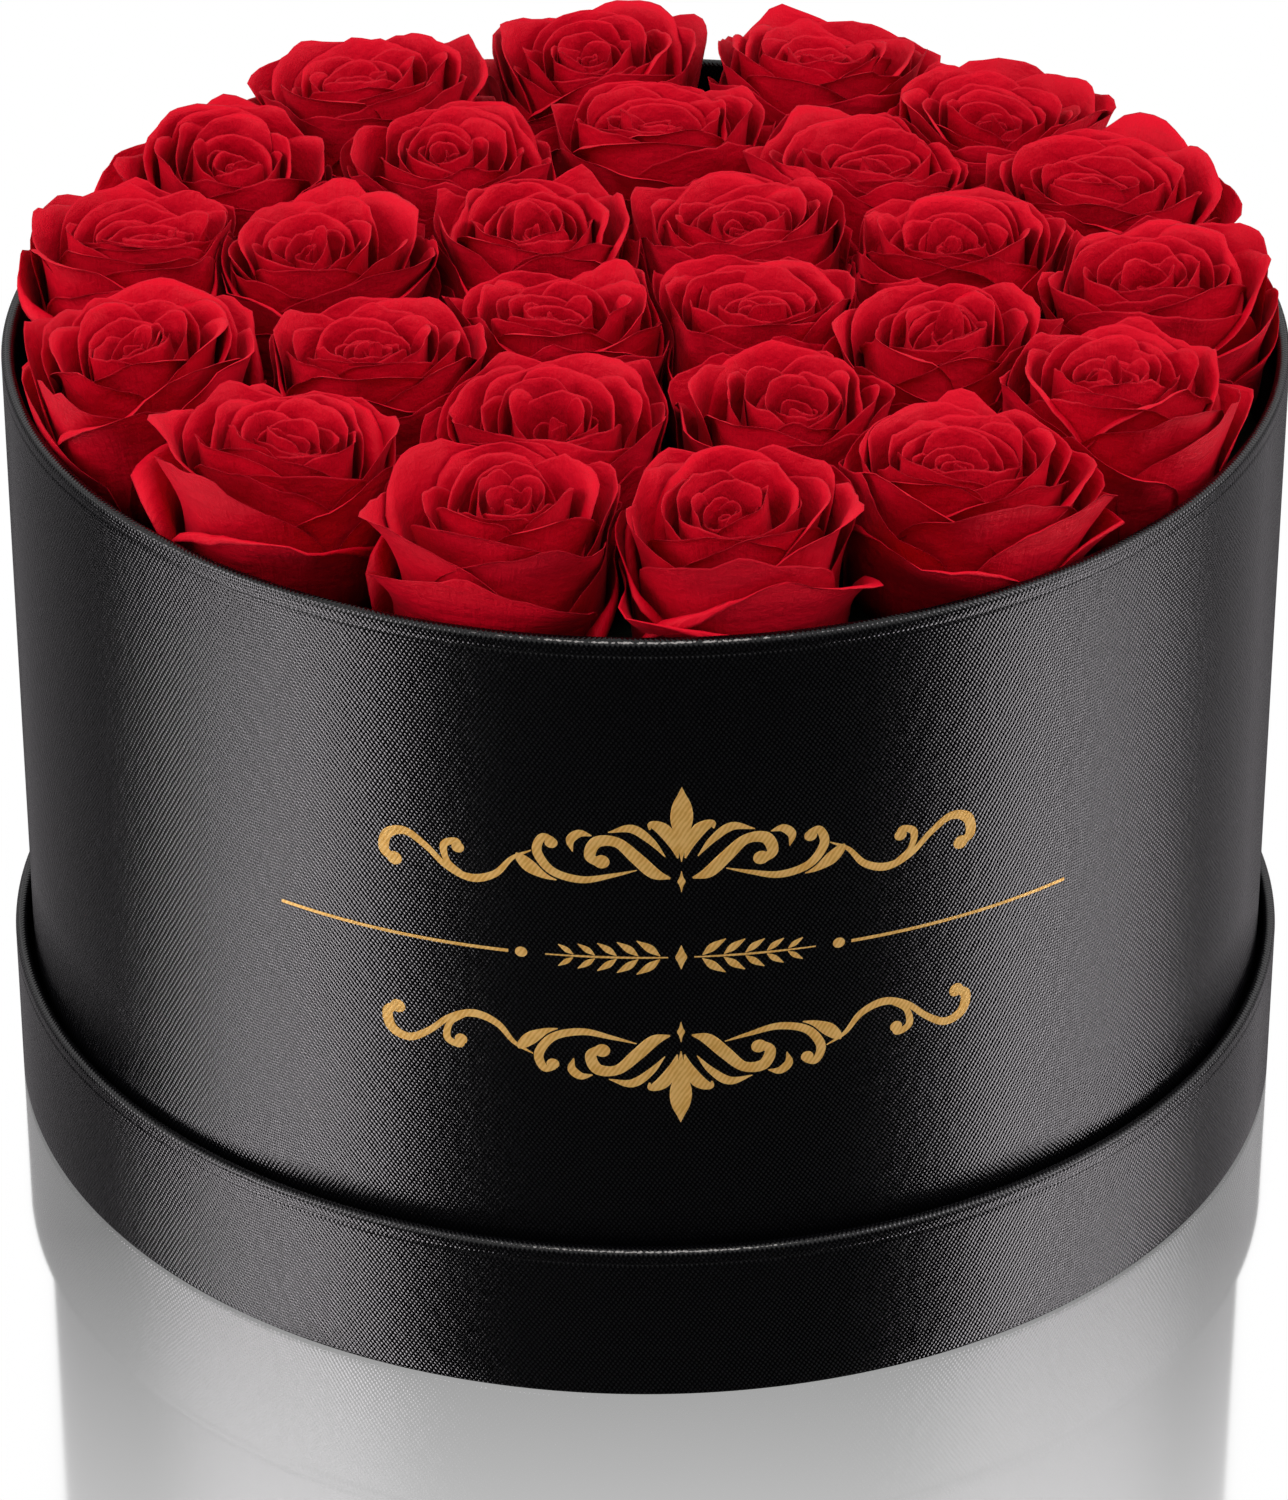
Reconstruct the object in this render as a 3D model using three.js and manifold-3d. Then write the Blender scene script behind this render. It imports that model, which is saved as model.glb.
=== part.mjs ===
// A round flower box: a covered board drum standing in its own upturned lid, and filled with
// preserved roses whose short stems are set in a foam block that a board riser lifts to the rim.
//
// Millimetres, +Z up. The origin is the centre of the underside of the lid, which is the base.
// The group holds three groups that come apart along +Z: the lid, the box, and the rose insert.

import * as THREE from "three";
import { mergeVertices } from "three/addons/utils/BufferGeometryUtils.js";
import Module from "manifold-3d";

const wasm = await Module();
wasm.setup();

// ---- Driving dimensions -------------------------------------------------------------------

// Box and lid
const BOX_RADIUS = 135; // outside of the box's covered wall
const BOX_HEIGHT = 173; // from under the box's floor to the top of its rim
const LID_HEIGHT = 36.5; // from the lid's outside face to its rim
const LID_CLEARANCE = 1.2; // between the box's wall and the inside of the lid, on each side

// Board and paper
const WALL_BOARD = 1.8; // rolled greyboard of the walls
const PANEL_BOARD = 2; // flat greyboard of the floor and of the lid's panel
const COVER_PAPER = 0.35; // embossed covering paper
const LINING_PAPER = 0.25; // plain black lining paper
const GLUE = 0.1; // glue line, or a resting gap, between two pieces
const BOX_TURN_IN = 15; // cover paper turned over the box's rim and down inside
const LID_TURN_IN = 9; // the same at the lid's rim
const TURN_UNDER = 13; // cover paper turned under the wall's foot
const PANEL_INSET = 1.5; // the panel's paper stops this far inside the wall

// Foam and riser
const FOAM_THICKNESS = 60;
const FOAM_CLEARANCE = 1.3; // between the foam and the inside of the box
const FOAM_CHAMFER = 3;
const RISER_BOARD = 3; // single-wall corrugated board
const RISER_CLEARANCE = 0.7;

// Roses
const HEAD_RADIUS = 27; // an open head with nothing pressing on it
const HEAD_HEIGHT = 44; // from the hip to the top of the inner petals
const HEAD_ABOVE_RIM = 17; // how far the heads stand out of the box
const HEAD_CLEARANCE = 1.3; // between a head and the box's wall
const HEAD_SEAT = 24; // from the axis of an outer head to the side that the wall presses
const HEAD_GAP = 0.4; // between two heads that press together
const HIP_RADIUS = 7;
const STEM_RADIUS = 2.4;
const STEM_LENGTH = 30; // the part of the stem that is inside the foam
const STEM_CLEARANCE = 0.4;
const STEM_TIP_CLEARANCE = 2; // the hole is deeper than the stem by this
const HEAD_ON_FOAM = 0.3; // between the hip and the foam

// Rose pattern: rings from the wall inwards
const RING_PITCH = 39;
const RING_SPACING = 48; // from rose to rose along a ring, before they are spread evenly
// The first bearing of each ring, and how far off even spacing the florist's hand sets each
// rose, in degrees.
const RINGS = [
  { start: -159, nudges: [0, 1, 2, 2, 1, 0, 2, 1, -2, -3, -3, -1, -1, -1] },
  { start: -148, nudges: [4, 3, 2, -1, -1, -4, -5, -3, 1] },
  { start: -130, nudges: [3, 2, -5, 3] },
];

// Facets
const TUB_SEGMENTS = 60;
const HEAD_SEGMENTS = 12;
const HOLE_SEGMENTS = 8;

// ---- Materials ----------------------------------------------------------------------------

function material(color, roughness) {
  return new THREE.MeshStandardMaterial({ color, roughness, metalness: 0 });
}

const coverPaper = material(0x17171a, 0.45);
const liningPaper = material(0x101012, 0.7);
const greyboard = material(0x8d857a, 0.9);
const corrugated = material(0xb08d62, 0.9);
const foam = material(0x2f4a33, 0.95);
const petals = material(0xb8101c, 0.65);

// ---- Shapes -------------------------------------------------------------------------------

// A solid turned about Z from a profile of [radius, z] points. The profile runs anticlockwise,
// seen with the radius to the right and z up, from the axis back to the axis.
function turned(profile, segments = TUB_SEGMENTS) {
  const points = profile.map(([r, z]) => new THREE.Vector2(r, z));
  return new THREE.LatheGeometry(points, segments).rotateX(Math.PI / 2);
}

// The same for a profile that stays clear of the axis and closes on itself.
function turnedRing(profile, segments = TUB_SEGMENTS) {
  return turned([...profile, profile[0]], segments);
}

function disc(radius, bottom, thickness) {
  const top = bottom + thickness;
  return turned([
    [0, bottom],
    [radius, bottom],
    [radius, top],
    [0, top],
  ]);
}

function tube(outer, thickness, bottom, top) {
  return turnedRing([
    [outer, bottom],
    [outer, top],
    [outer - thickness, top],
    [outer - thickness, bottom],
  ]);
}

function solidOf(geometry) {
  const bare = geometry.clone();
  bare.deleteAttribute("normal");
  bare.deleteAttribute("uv");
  const merged = mergeVertices(bare, 1e-3);
  return new wasm.Manifold(
    new wasm.Mesh({
      numProp: 3,
      vertProperties: merged.attributes.position.array,
      triVerts: new Uint32Array(merged.index.array),
    }),
  );
}

function geometryOf(solid) {
  const { vertProperties, triVerts } = solid.getMesh();
  return new THREE.BufferGeometry()
    .setAttribute("position", new THREE.BufferAttribute(vertProperties, 3))
    .setIndex(new THREE.BufferAttribute(triVerts, 1));
}

function named(name, geometry, finish) {
  const mesh = new THREE.Mesh(geometry, finish);
  mesh.name = name;
  return mesh;
}

// ---- Box and lid: two covered tubs --------------------------------------------------------

// A tub's layers from the outside in are cover paper, glue, board, glue, and lining or turned-in
// cover paper.
const WALL_TO_BOARD = COVER_PAPER + GLUE;
const WALL_TO_INSIDE = WALL_TO_BOARD + WALL_BOARD + GLUE;
const TUB_WALL = WALL_TO_INSIDE + Math.max(COVER_PAPER, LINING_PAPER);

// Its layers from the underside up are panel cover, turned-under cover, board and lining.
const FOOT_COVER = COVER_PAPER + GLUE;
const FOOT_BOARD = FOOT_COVER + COVER_PAPER + GLUE;
const FOOT_LINING = FOOT_BOARD + PANEL_BOARD + GLUE;
const TUB_FLOOR = FOOT_LINING + LINING_PAPER;

// The six pieces of a board tub covered in paper, with its underside at z = 0.
function makeTub(name, panelName, radius, height, turnIn) {
  const group = new THREE.Group();
  const insideRadius = radius - WALL_TO_INSIDE;
  const boardRadius = radius - WALL_TO_BOARD;
  const footTop = FOOT_COVER + COVER_PAPER;
  const rimUnder = height - COVER_PAPER;
  const turnInEnd = height - turnIn;
  // The cover paper: up the wall, over the rim, down inside, back up and down the wall's
  // outside, and in under the foot.
  const cover = turnedRing([
    [radius - TURN_UNDER, FOOT_COVER],
    [radius, FOOT_COVER],
    [radius, height],
    [insideRadius - COVER_PAPER, height],
    [insideRadius - COVER_PAPER, turnInEnd],
    [insideRadius, turnInEnd],
    [insideRadius, rimUnder],
    [radius - COVER_PAPER, rimUnder],
    [radius - COVER_PAPER, footTop],
    [radius - TURN_UNDER, footTop],
  ]);
  const board = tube(boardRadius, WALL_BOARD, FOOT_BOARD, rimUnder - GLUE);
  const liningFoot = FOOT_LINING + LINING_PAPER + GLUE;
  const lining = tube(insideRadius, LINING_PAPER, liningFoot, turnInEnd - GLUE);
  const panel = disc(insideRadius, FOOT_BOARD, PANEL_BOARD);
  const panelCover = disc(radius - PANEL_INSET, 0, COVER_PAPER);
  const panelLining = disc(insideRadius, FOOT_LINING, LINING_PAPER);
  group.add(
    named(`${name}_wall`, board, greyboard),
    named(`${name}_wall_cover`, cover, coverPaper),
    named(`${name}_wall_lining`, lining, liningPaper),
    named(`${name}_${panelName}`, panel, greyboard),
    named(`${name}_${panelName}_cover`, panelCover, coverPaper),
    named(`${name}_${panelName}_lining`, panelLining, liningPaper),
  );
  return group;
}

const LID_RADIUS = BOX_RADIUS + LID_CLEARANCE + TUB_WALL;
const BOX_BASE = TUB_FLOOR + GLUE; // the box stands on the lid's lining
const RIM = BOX_BASE + BOX_HEIGHT;
const BOX_INSIDE = BOX_RADIUS - TUB_WALL;
const BOX_FLOOR = BOX_BASE + TUB_FLOOR;

// ---- Riser, foam and roses ----------------------------------------------------------------

// The heads fix the height of the foam, and the riser fills what is left below it.
const HEAD_BASE = RIM + HEAD_ABOVE_RIM - HEAD_HEIGHT;
const FOAM_TOP = HEAD_BASE - HEAD_ON_FOAM;
const FOAM_BOTTOM = FOAM_TOP - FOAM_THICKNESS;
const DECK_BOTTOM = FOAM_BOTTOM - GLUE - RISER_BOARD;
const HEAD_LIMIT = BOX_INSIDE - HEAD_CLEARANCE; // as far out as a head may reach

function makeRiser() {
  const group = new THREE.Group();
  const radius = BOX_INSIDE - RISER_CLEARANCE;
  const ring = tube(radius, RISER_BOARD, BOX_FLOOR + GLUE, DECK_BOTTOM - GLUE);
  const deck = disc(radius, DECK_BOTTOM, RISER_BOARD);
  group.add(named("riser_ring", ring, corrugated));
  group.add(named("riser_deck", deck, corrugated));
  return group;
}

// The places of the roses, as rings from the wall inwards. A ring too small for two roses is one
// rose in the middle.
function rosePlaces() {
  const places = [];
  let radius = HEAD_LIMIT - HEAD_SEAT;
  for (let ring = 0; radius > 0; ring += 1, radius -= RING_PITCH) {
    const { start, nudges } = RINGS[Math.min(ring, RINGS.length - 1)];
    const count = Math.max(1, Math.round((2 * Math.PI * radius) / RING_SPACING));
    const reach = count > 1 ? radius : 0;
    for (let k = 0; k < count; k += 1) {
      const bearing = start + (k * 360) / count + nudges[k % nudges.length];
      const angle = THREE.MathUtils.degToRad(bearing);
      places.push(new THREE.Vector2(Math.cos(angle), Math.sin(angle)).multiplyScalar(reach));
    }
  }
  return places;
}

// The outline of a head on its hip and stem, as shares of the head's radius and height.
function makeRoseOutline() {
  const r = HEAD_RADIUS;
  const h = HEAD_HEIGHT;
  return [
    [0, -STEM_LENGTH],
    [STEM_RADIUS, -STEM_LENGTH],
    [STEM_RADIUS, 0],
    [HIP_RADIUS, 0.07 * h],
    [0.7 * r, 0.27 * h],
    [0.95 * r, 0.55 * h],
    [r, 0.8 * h],
    [0.88 * r, 0.95 * h],
    [0, h],
  ];
}

// One rose at its place, pressed in by the wall and pressed flat by each neighbour. The room is
// the space inside the box that heads may fill.
function makeRose(name, place, places, room) {
  const free = solidOf(turned(makeRoseOutline(), HEAD_SEGMENTS));
  let solid = free.intersect(room.translate(-place.x, -place.y, 0));
  for (const other of places) {
    const apart = place.distanceTo(other);
    if (apart === 0 || apart > 2 * HEAD_RADIUS + HEAD_GAP) continue;
    const away = place.clone().sub(other).divideScalar(apart);
    solid = solid.trimByPlane([away.x, away.y, 0], (HEAD_GAP - apart) / 2);
  }
  const rose = named(name, geometryOf(solid), petals);
  rose.position.set(place.x, place.y, HEAD_BASE);
  return rose;
}

function makeFoam(places) {
  const radius = BOX_INSIDE - FOAM_CLEARANCE;
  const block = turned([
    [0, FOAM_BOTTOM],
    [radius, FOAM_BOTTOM],
    [radius, FOAM_TOP - FOAM_CHAMFER],
    [radius - FOAM_CHAMFER, FOAM_TOP],
    [0, FOAM_TOP],
  ]);
  const past = 5; // the drill starts this far above the foam
  const bottom = HEAD_BASE - STEM_LENGTH - STEM_TIP_CLEARANCE;
  const depth = FOAM_TOP + past - bottom;
  let solid = solidOf(block);
  for (const { x, y } of places) {
    const reach = STEM_RADIUS + STEM_CLEARANCE;
    const drill = new THREE.CylinderGeometry(reach, reach, depth, HOLE_SEGMENTS)
      .rotateX(Math.PI / 2)
      .translate(x, y, bottom + depth / 2);
    solid = solid.subtract(solidOf(drill));
  }
  return named("foam_block", geometryOf(solid), foam);
}

function makeInsert() {
  const group = new THREE.Group();
  const places = rosePlaces();
  const room = solidOf(disc(HEAD_LIMIT, -2 * STEM_LENGTH, 2 * (STEM_LENGTH + HEAD_HEIGHT)));
  group.add(makeFoam(places));
  places.forEach((place, k) => {
    const name = `rose_${String(k + 1).padStart(2, "0")}`;
    group.add(makeRose(name, place, places, room));
  });
  return group;
}

// ---- Assembly -----------------------------------------------------------------------------

const lid = makeTub("lid", "panel", LID_RADIUS, LID_HEIGHT, LID_TURN_IN);
const box = makeTub("box", "floor", BOX_RADIUS, BOX_HEIGHT, BOX_TURN_IN);
box.position.z = BOX_BASE;

const flowerBox = new THREE.Group();
flowerBox.add(lid, box, makeRiser(), makeInsert());

export default flowerBox;
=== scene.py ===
"""Visual model of a flower box: a covered round box in its upturned lid, full of preserved roses.

Every length is in metres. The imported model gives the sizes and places; each class below builds one
sub-assembly round it, as surfaces worked out on grids of two parameters.
"""

import logging
from dataclasses import dataclass
from enum import Enum

import bmesh
import bpy
import numpy as np
from mathutils import Matrix, Vector


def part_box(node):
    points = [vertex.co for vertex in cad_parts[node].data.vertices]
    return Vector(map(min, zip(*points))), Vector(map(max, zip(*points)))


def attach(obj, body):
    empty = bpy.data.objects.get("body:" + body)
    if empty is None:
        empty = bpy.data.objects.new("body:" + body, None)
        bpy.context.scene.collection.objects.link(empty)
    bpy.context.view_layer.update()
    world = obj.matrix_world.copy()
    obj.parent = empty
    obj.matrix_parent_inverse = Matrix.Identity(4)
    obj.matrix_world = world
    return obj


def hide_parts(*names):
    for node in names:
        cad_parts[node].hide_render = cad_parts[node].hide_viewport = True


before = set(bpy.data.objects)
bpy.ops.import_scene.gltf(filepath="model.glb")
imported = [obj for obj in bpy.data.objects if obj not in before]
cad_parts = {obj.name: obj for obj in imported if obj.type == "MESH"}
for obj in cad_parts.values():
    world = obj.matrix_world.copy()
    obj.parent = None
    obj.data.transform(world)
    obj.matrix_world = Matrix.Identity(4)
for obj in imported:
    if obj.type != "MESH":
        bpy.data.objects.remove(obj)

MM = 0.001
TAU = 2 * np.pi
GOLDEN_ANGLE = np.radians(137.5)
WAVE_PERIOD = 0.314  # a Wave Texture of scale 1 repeats at this distance
TINY = 1e-9  # a distance from the axis below which a point is on it
NEAR = 1e-7  # two lengths closer than this are the same
SHORTEST = 1e-12  # what a vector's length counts as at least
LOG = logging.getLogger("flower_box")
Socket = bpy.types.NodeSocket
Tree = bpy.types.NodeTree
Curve = tuple[tuple[float, ...], tuple[float, ...]]  # places, and the values there


class Body(Enum):
    """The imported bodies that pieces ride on."""

    LID = "lid"
    BOX = "box"
    INSERT = "insert"


class Slot(Enum):
    """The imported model's material slots."""

    COVER_PAPER = "cover_paper"
    LINING_PAPER = "lining_paper"
    GREYBOARD = "greyboard"
    CORRUGATED_BOARD = "corrugated_board"
    FLORAL_FOAM = "floral_foam"
    ROSE = "rose"


# ---- Numbers, colours and small formulas --------------------------------------------------


def linear(colour: str) -> tuple[float, float, float, float]:
    """Turns an sRGB hex colour into a linear one.

    Args:
        colour: the colour, such as "#c81e2e".

    Returns:
        Linear red, green, blue and alpha.
    """
    channels = [int(colour[k : k + 2], 16) / 255 for k in (1, 3, 5)]
    red, green, blue = (c / 12.92 if c <= 0.04045 else ((c + 0.055) / 1.055) ** 2.4 for c in channels)
    return red, green, blue, 1.0


def smoothstep(x: np.ndarray) -> np.ndarray:
    """3x^2 - 2x^3, held at 0 below x = 0 and at 1 above x = 1."""
    x = np.clip(x, 0, 1)
    return x * x * (3 - 2 * x)


def blend(low: float, high: float, share: np.ndarray) -> np.ndarray:
    """low + (high - low) share."""
    return low + (high - low) * share


def unit(vectors: np.ndarray) -> np.ndarray:
    """Each vector over its length."""
    return vectors / np.maximum(np.linalg.norm(vectors, axis=-1, keepdims=True), SHORTEST)


def swung(x: np.ndarray, y: np.ndarray, angle: np.ndarray) -> tuple[np.ndarray, np.ndarray]:
    """x and y turned by an angle: x cos a - y sin a, and x sin a + y cos a."""
    return x * np.cos(angle) - y * np.sin(angle), x * np.sin(angle) + y * np.cos(angle)


def round_z(radius: np.ndarray, bearing: np.ndarray, height: np.ndarray) -> np.ndarray:
    """Points round Z: (r cos a, r sin a, z)."""
    return np.stack(np.broadcast_arrays(radius * np.cos(bearing), radius * np.sin(bearing), height), -1)


def waves(
    rng: np.random.Generator, shape: tuple[int, ...], at: np.ndarray, orders: tuple[float, ...]
) -> np.ndarray:
    """A smooth random line for each item: the sum over orders k of a sin(k at + p) / sqrt(k).

    Args:
        rng: source of the random amplitudes a and phases p.
        shape: shape of the items, with ones for the axes that the line runs along.
        at: position along the line, in radians.
        orders: the whole or broken numbers of waves in a turn.

    Returns:
        An array that shape and at broadcast to, mostly within -1 and 1.
    """
    total = np.zeros(np.broadcast_shapes(shape, np.shape(at)))
    for order in orders:
        amplitude = rng.uniform(0.4, 1.0, shape) / np.sqrt(order)
        total = total + amplitude * np.sin(order * at + rng.uniform(0, TAU, shape))
    return total / np.sqrt(len(orders))


# ---- Materials ----------------------------------------------------------------------------


def add_node(tree: Tree, kind: str, links: dict | None = None, **settings) -> bpy.types.Node:
    """Adds one node with its settings and links.

    Args:
        tree: the node tree that it goes in.
        kind: the node's type, without the "ShaderNode" in front.
        links: input name or number to an output socket, or to a fixed value.
        settings: attributes of the node, such as operation="MULTIPLY".

    Returns:
        The new node.
    """
    node = tree.nodes.new("ShaderNode" + kind)
    for key, value in settings.items():
        setattr(node, key, value)
    for key, value in (links or {}).items():
        if isinstance(value, Socket):
            tree.links.new(value, node.inputs[key])
        else:
            node.inputs[key].default_value = value
    return node


def empty_tree(owner: bpy.types.Material | bpy.types.World) -> Tree:
    """Empties a new material's or world's node tree.

    Args:
        owner: the material or world.

    Returns:
        Its node tree, with nothing in it.
    """
    owner.use_nodes = True
    owner.node_tree.nodes.clear()
    return owner.node_tree


def maths(tree: Tree, operation: str, *values: Socket | float) -> Socket:
    """What one Math node makes of its values."""
    return add_node(tree, "Math", dict(enumerate(values)), operation=operation).outputs[0]


def noise(tree: Tree, place: Socket, scale: float, detail: float, roughness: float = 0.5) -> Socket:
    """Cloudy noise from 0 to 1, with about scale clouds in each unit of place."""
    links = {"Vector": place, "Scale": scale, "Detail": detail, "Roughness": roughness}
    return add_node(tree, "TexNoise", links).outputs["Fac"]


def attribute(tree: Tree, name: str) -> Socket:
    """The value of that name that the mesh gives each point."""
    return add_node(tree, "Attribute", attribute_name=name).outputs["Fac"]


def own_uv(tree: Tree) -> Socket:
    """The piece's own UV map, in millimetres."""
    return add_node(tree, "UVMap", uv_map="UVMap").outputs["UV"]


def turned_threads(
    tree: Tree, uv: Socket, turn: float, pitch: float, fineness: float = 1.0, roughness: float = 0.5
) -> Socket:
    """Wavering parallel threads, as a Wave Texture that repeats every pi / 10 at a scale of 1.

    Args:
        tree: the node tree.
        uv: the place, in millimetres.
        turn: the threads' direction, in radians.
        pitch: the distance between threads, in millimetres.
        fineness: scale of the wavering's detail.
        roughness: strength of the wavering's detail.

    Returns:
        The threads' height, from 0 to 1.
    """
    along = add_node(tree, "Mapping", {"Vector": uv, "Rotation": (0, 0, turn)}).outputs["Vector"]
    links = {"Vector": along, "Scale": WAVE_PERIOD / pitch, "Distortion": 1.6, "Detail": 1.0}
    links |= {"Detail Scale": fineness, "Detail Roughness": roughness}
    return add_node(tree, "TexWave", links).outputs["Fac"]


def mixed_colour(tree: Tree, share: Socket, low: str, high: str) -> Socket:
    """Mixes two hex colours along a straight ramp.

    Args:
        tree: the node tree.
        share: the way from low to high, from 0 to 1.
        low: the first colour.
        high: the second colour.

    Returns:
        The colour between them.
    """
    ramp = add_node(tree, "ValToRGB", {"Fac": share})
    ramp.color_ramp.elements[0].color = linear(low)
    ramp.color_ramp.elements[1].color = linear(high)
    return ramp.outputs["Color"]


def mixed(tree: Tree, share: Socket, first: Socket | tuple, second: Socket | tuple) -> Socket:
    """Mixes two colours. A Mix node's colour sockets have no names of their own, so they go by place."""
    return add_node(tree, "Mix", {"Factor": share, 6: first, 7: second}, data_type="RGBA").outputs[2]


def ranged(tree: Tree, value: Socket, low: float, high: float, least: float, most: float | Socket) -> Socket:
    """A value's way from low to high, drawn evenly over least to most."""
    links = {"Value": value, "From Min": low, "From Max": high, "To Min": least, "To Max": most}
    return add_node(tree, "MapRange", links).outputs["Result"]


def stepped(
    tree: Tree, value: Socket, low: float, high: float, least: float = 0.0, most: float = 1.0
) -> Socket:
    """A value's way from low to high, drawn over least to most with soft ends."""
    links = {"Value": value, "From Min": low, "From Max": high, "To Min": least, "To Max": most}
    return add_node(tree, "MapRange", links, interpolation_type="SMOOTHSTEP").outputs["Result"]


@dataclass(frozen=True)
class Finish:
    """What every finish has: a name and the constant settings of its surface."""

    name: str
    roughness: float
    specular: float = 0.5
    metallic: float = 0.0
    sheen: float = 0.0
    sheen_colour: str = "#ffffff"
    sheen_roughness: float = 0.4

    def start(self) -> tuple[bpy.types.Material, Tree, bpy.types.Node]:
        """Makes the material with its one surface shader.

        Returns:
            The material, its node tree and its Principled node.
        """
        material = bpy.data.materials.new(self.name)
        tree = empty_tree(material)
        settings = {
            "Roughness": self.roughness,
            "Specular IOR Level": self.specular,
            "Metallic": self.metallic,
            "Sheen Weight": self.sheen,
            "Sheen Roughness": self.sheen_roughness,
            "Sheen Tint": linear(self.sheen_colour),
        }
        shader = add_node(tree, "BsdfPrincipled", settings)
        add_node(tree, "OutputMaterial", {"Surface": shader.outputs["BSDF"]})
        return material, tree, shader

    def dress(
        self,
        tree: Tree,
        shader: bpy.types.Node,
        colour: Socket,
        height: Socket,
        relief: float,
        share: float = 1.0,
    ) -> None:
        """Gives the surface its colour, and its relief as a bump: share times relief times height.

        Args:
            tree: the node tree.
            shader: the Principled node.
            colour: the surface's colour.
            height: the relief's shape, from 0 to 1.
            relief: the relief's depth, in millimetres.
            share: how much of the relief shows.
        """
        bump = add_node(tree, "Bump", {"Height": height, "Distance": relief * MM, "Strength": share})
        tree.links.new(colour, shader.inputs["Base Color"])
        tree.links.new(bump.outputs["Normal"], shader.inputs["Normal"])


@dataclass(frozen=True)
class EmbossedPaper(Finish):
    """Coated black covering paper, rolled with a fine crossed grain like saffiano leather.

    The coating gives broad soft lights; the grain breaks them into short diagonal threads. At an
    edge the folded coating rubs through to pale fibres.
    """

    name: str = "embossed_cover_paper"
    roughness: float = 0.28
    body: str = "#020203"
    lifted: str = "#040405"
    fibres: str = "#8a8884"
    pitch: float = 0.85  # mm; the real grain is about 0.7 mm, drawn a little coarser so that it shows
    relief: float = 0.045  # mm
    grooves: float = 0.14  # roughness between the threads, which the coating fills
    threads: float = 0.29  # roughness on the threads
    crossing: tuple[tuple[float, float], ...] = ((0.56, 1.0), (-0.72, 1.12))  # turn and closeness

    def build(self) -> bpy.types.Material:
        """Makes the material. UV is the distance along and across the paper, in millimetres."""
        material, tree, shader = self.start()
        uv = own_uv(tree)
        threads = [turned_threads(tree, uv, a, self.pitch / close, 0.9, 0.6) for a, close in self.crossing]
        grain = maths(tree, "ADD", *threads)
        share = stepped(tree, grain, 0.5, 1.5)
        gloss = ranged(tree, share, 0.0, 1.0, self.grooves, self.threads)
        tree.links.new(gloss, shader.inputs["Roughness"])
        shade = mixed_colour(tree, share, self.body, self.lifted)
        rubbed = maths(tree, "MULTIPLY", attribute(tree, "wear"), noise(tree, uv, 1.3, 3.0))
        colour = mixed(tree, stepped(tree, rubbed, 0.34, 0.46), shade, linear(self.fibres))
        self.dress(tree, shader, colour, grain, self.relief)
        return material


@dataclass(frozen=True)
class PlainPaper(Finish):
    """Uncoated paper or board: matt, with clouded tone and short fibres from the paper machine."""

    body: str = "#101011"
    lifted: str = "#19191b"
    cloud: float = 0.12  # clouds in a millimetre
    fibre: float = 1.6  # fibres in a millimetre
    relief: float = 0.02  # mm

    def build(self) -> bpy.types.Material:
        """Makes the material from clouds of tone and a fibre relief on Object coordinates."""
        material, tree, shader = self.start()
        place = add_node(tree, "TexCoord").outputs["Object"]
        fibre = noise(tree, place, self.fibre / MM, 3.0)
        tone = maths(tree, "ADD", noise(tree, place, self.cloud / MM, 6.0), fibre)
        colour = mixed_colour(tree, stepped(tree, tone, 0.7, 1.3), self.body, self.lifted)
        self.dress(tree, shader, colour, fibre, self.relief)
        return material


@dataclass(frozen=True)
class FloralFoam(Finish):
    """Dry phenolic foam: dark green, brittle and full of fine cells, so it has no shine at all."""

    name: str = "dry_floral_foam"
    roughness: float = 0.95
    specular: float = 0.2
    body: str = "#0e130e"
    lifted: str = "#20281f"
    cells: float = 1.25  # cells in a millimetre
    cloud: float = 0.08  # clouds in a millimetre
    relief: float = 0.35  # mm

    def build(self) -> bpy.types.Material:
        """Makes the material from open cells of about 0.8 mm and a slow change of tone."""
        material, tree, shader = self.start()
        place = add_node(tree, "TexCoord").outputs["Object"]
        cells = add_node(tree, "TexVoronoi", {"Vector": place, "Scale": self.cells / MM}).outputs["Distance"]
        cloud = noise(tree, place, self.cloud / MM, 5.0)
        tone = maths(tree, "MULTIPLY_ADD", cells, cloud, 0.2)
        colour = mixed_colour(tree, stepped(tree, tone, 0.2, 0.6), self.body, self.lifted)
        self.dress(tree, shader, colour, cells, self.relief)
        return material


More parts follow.
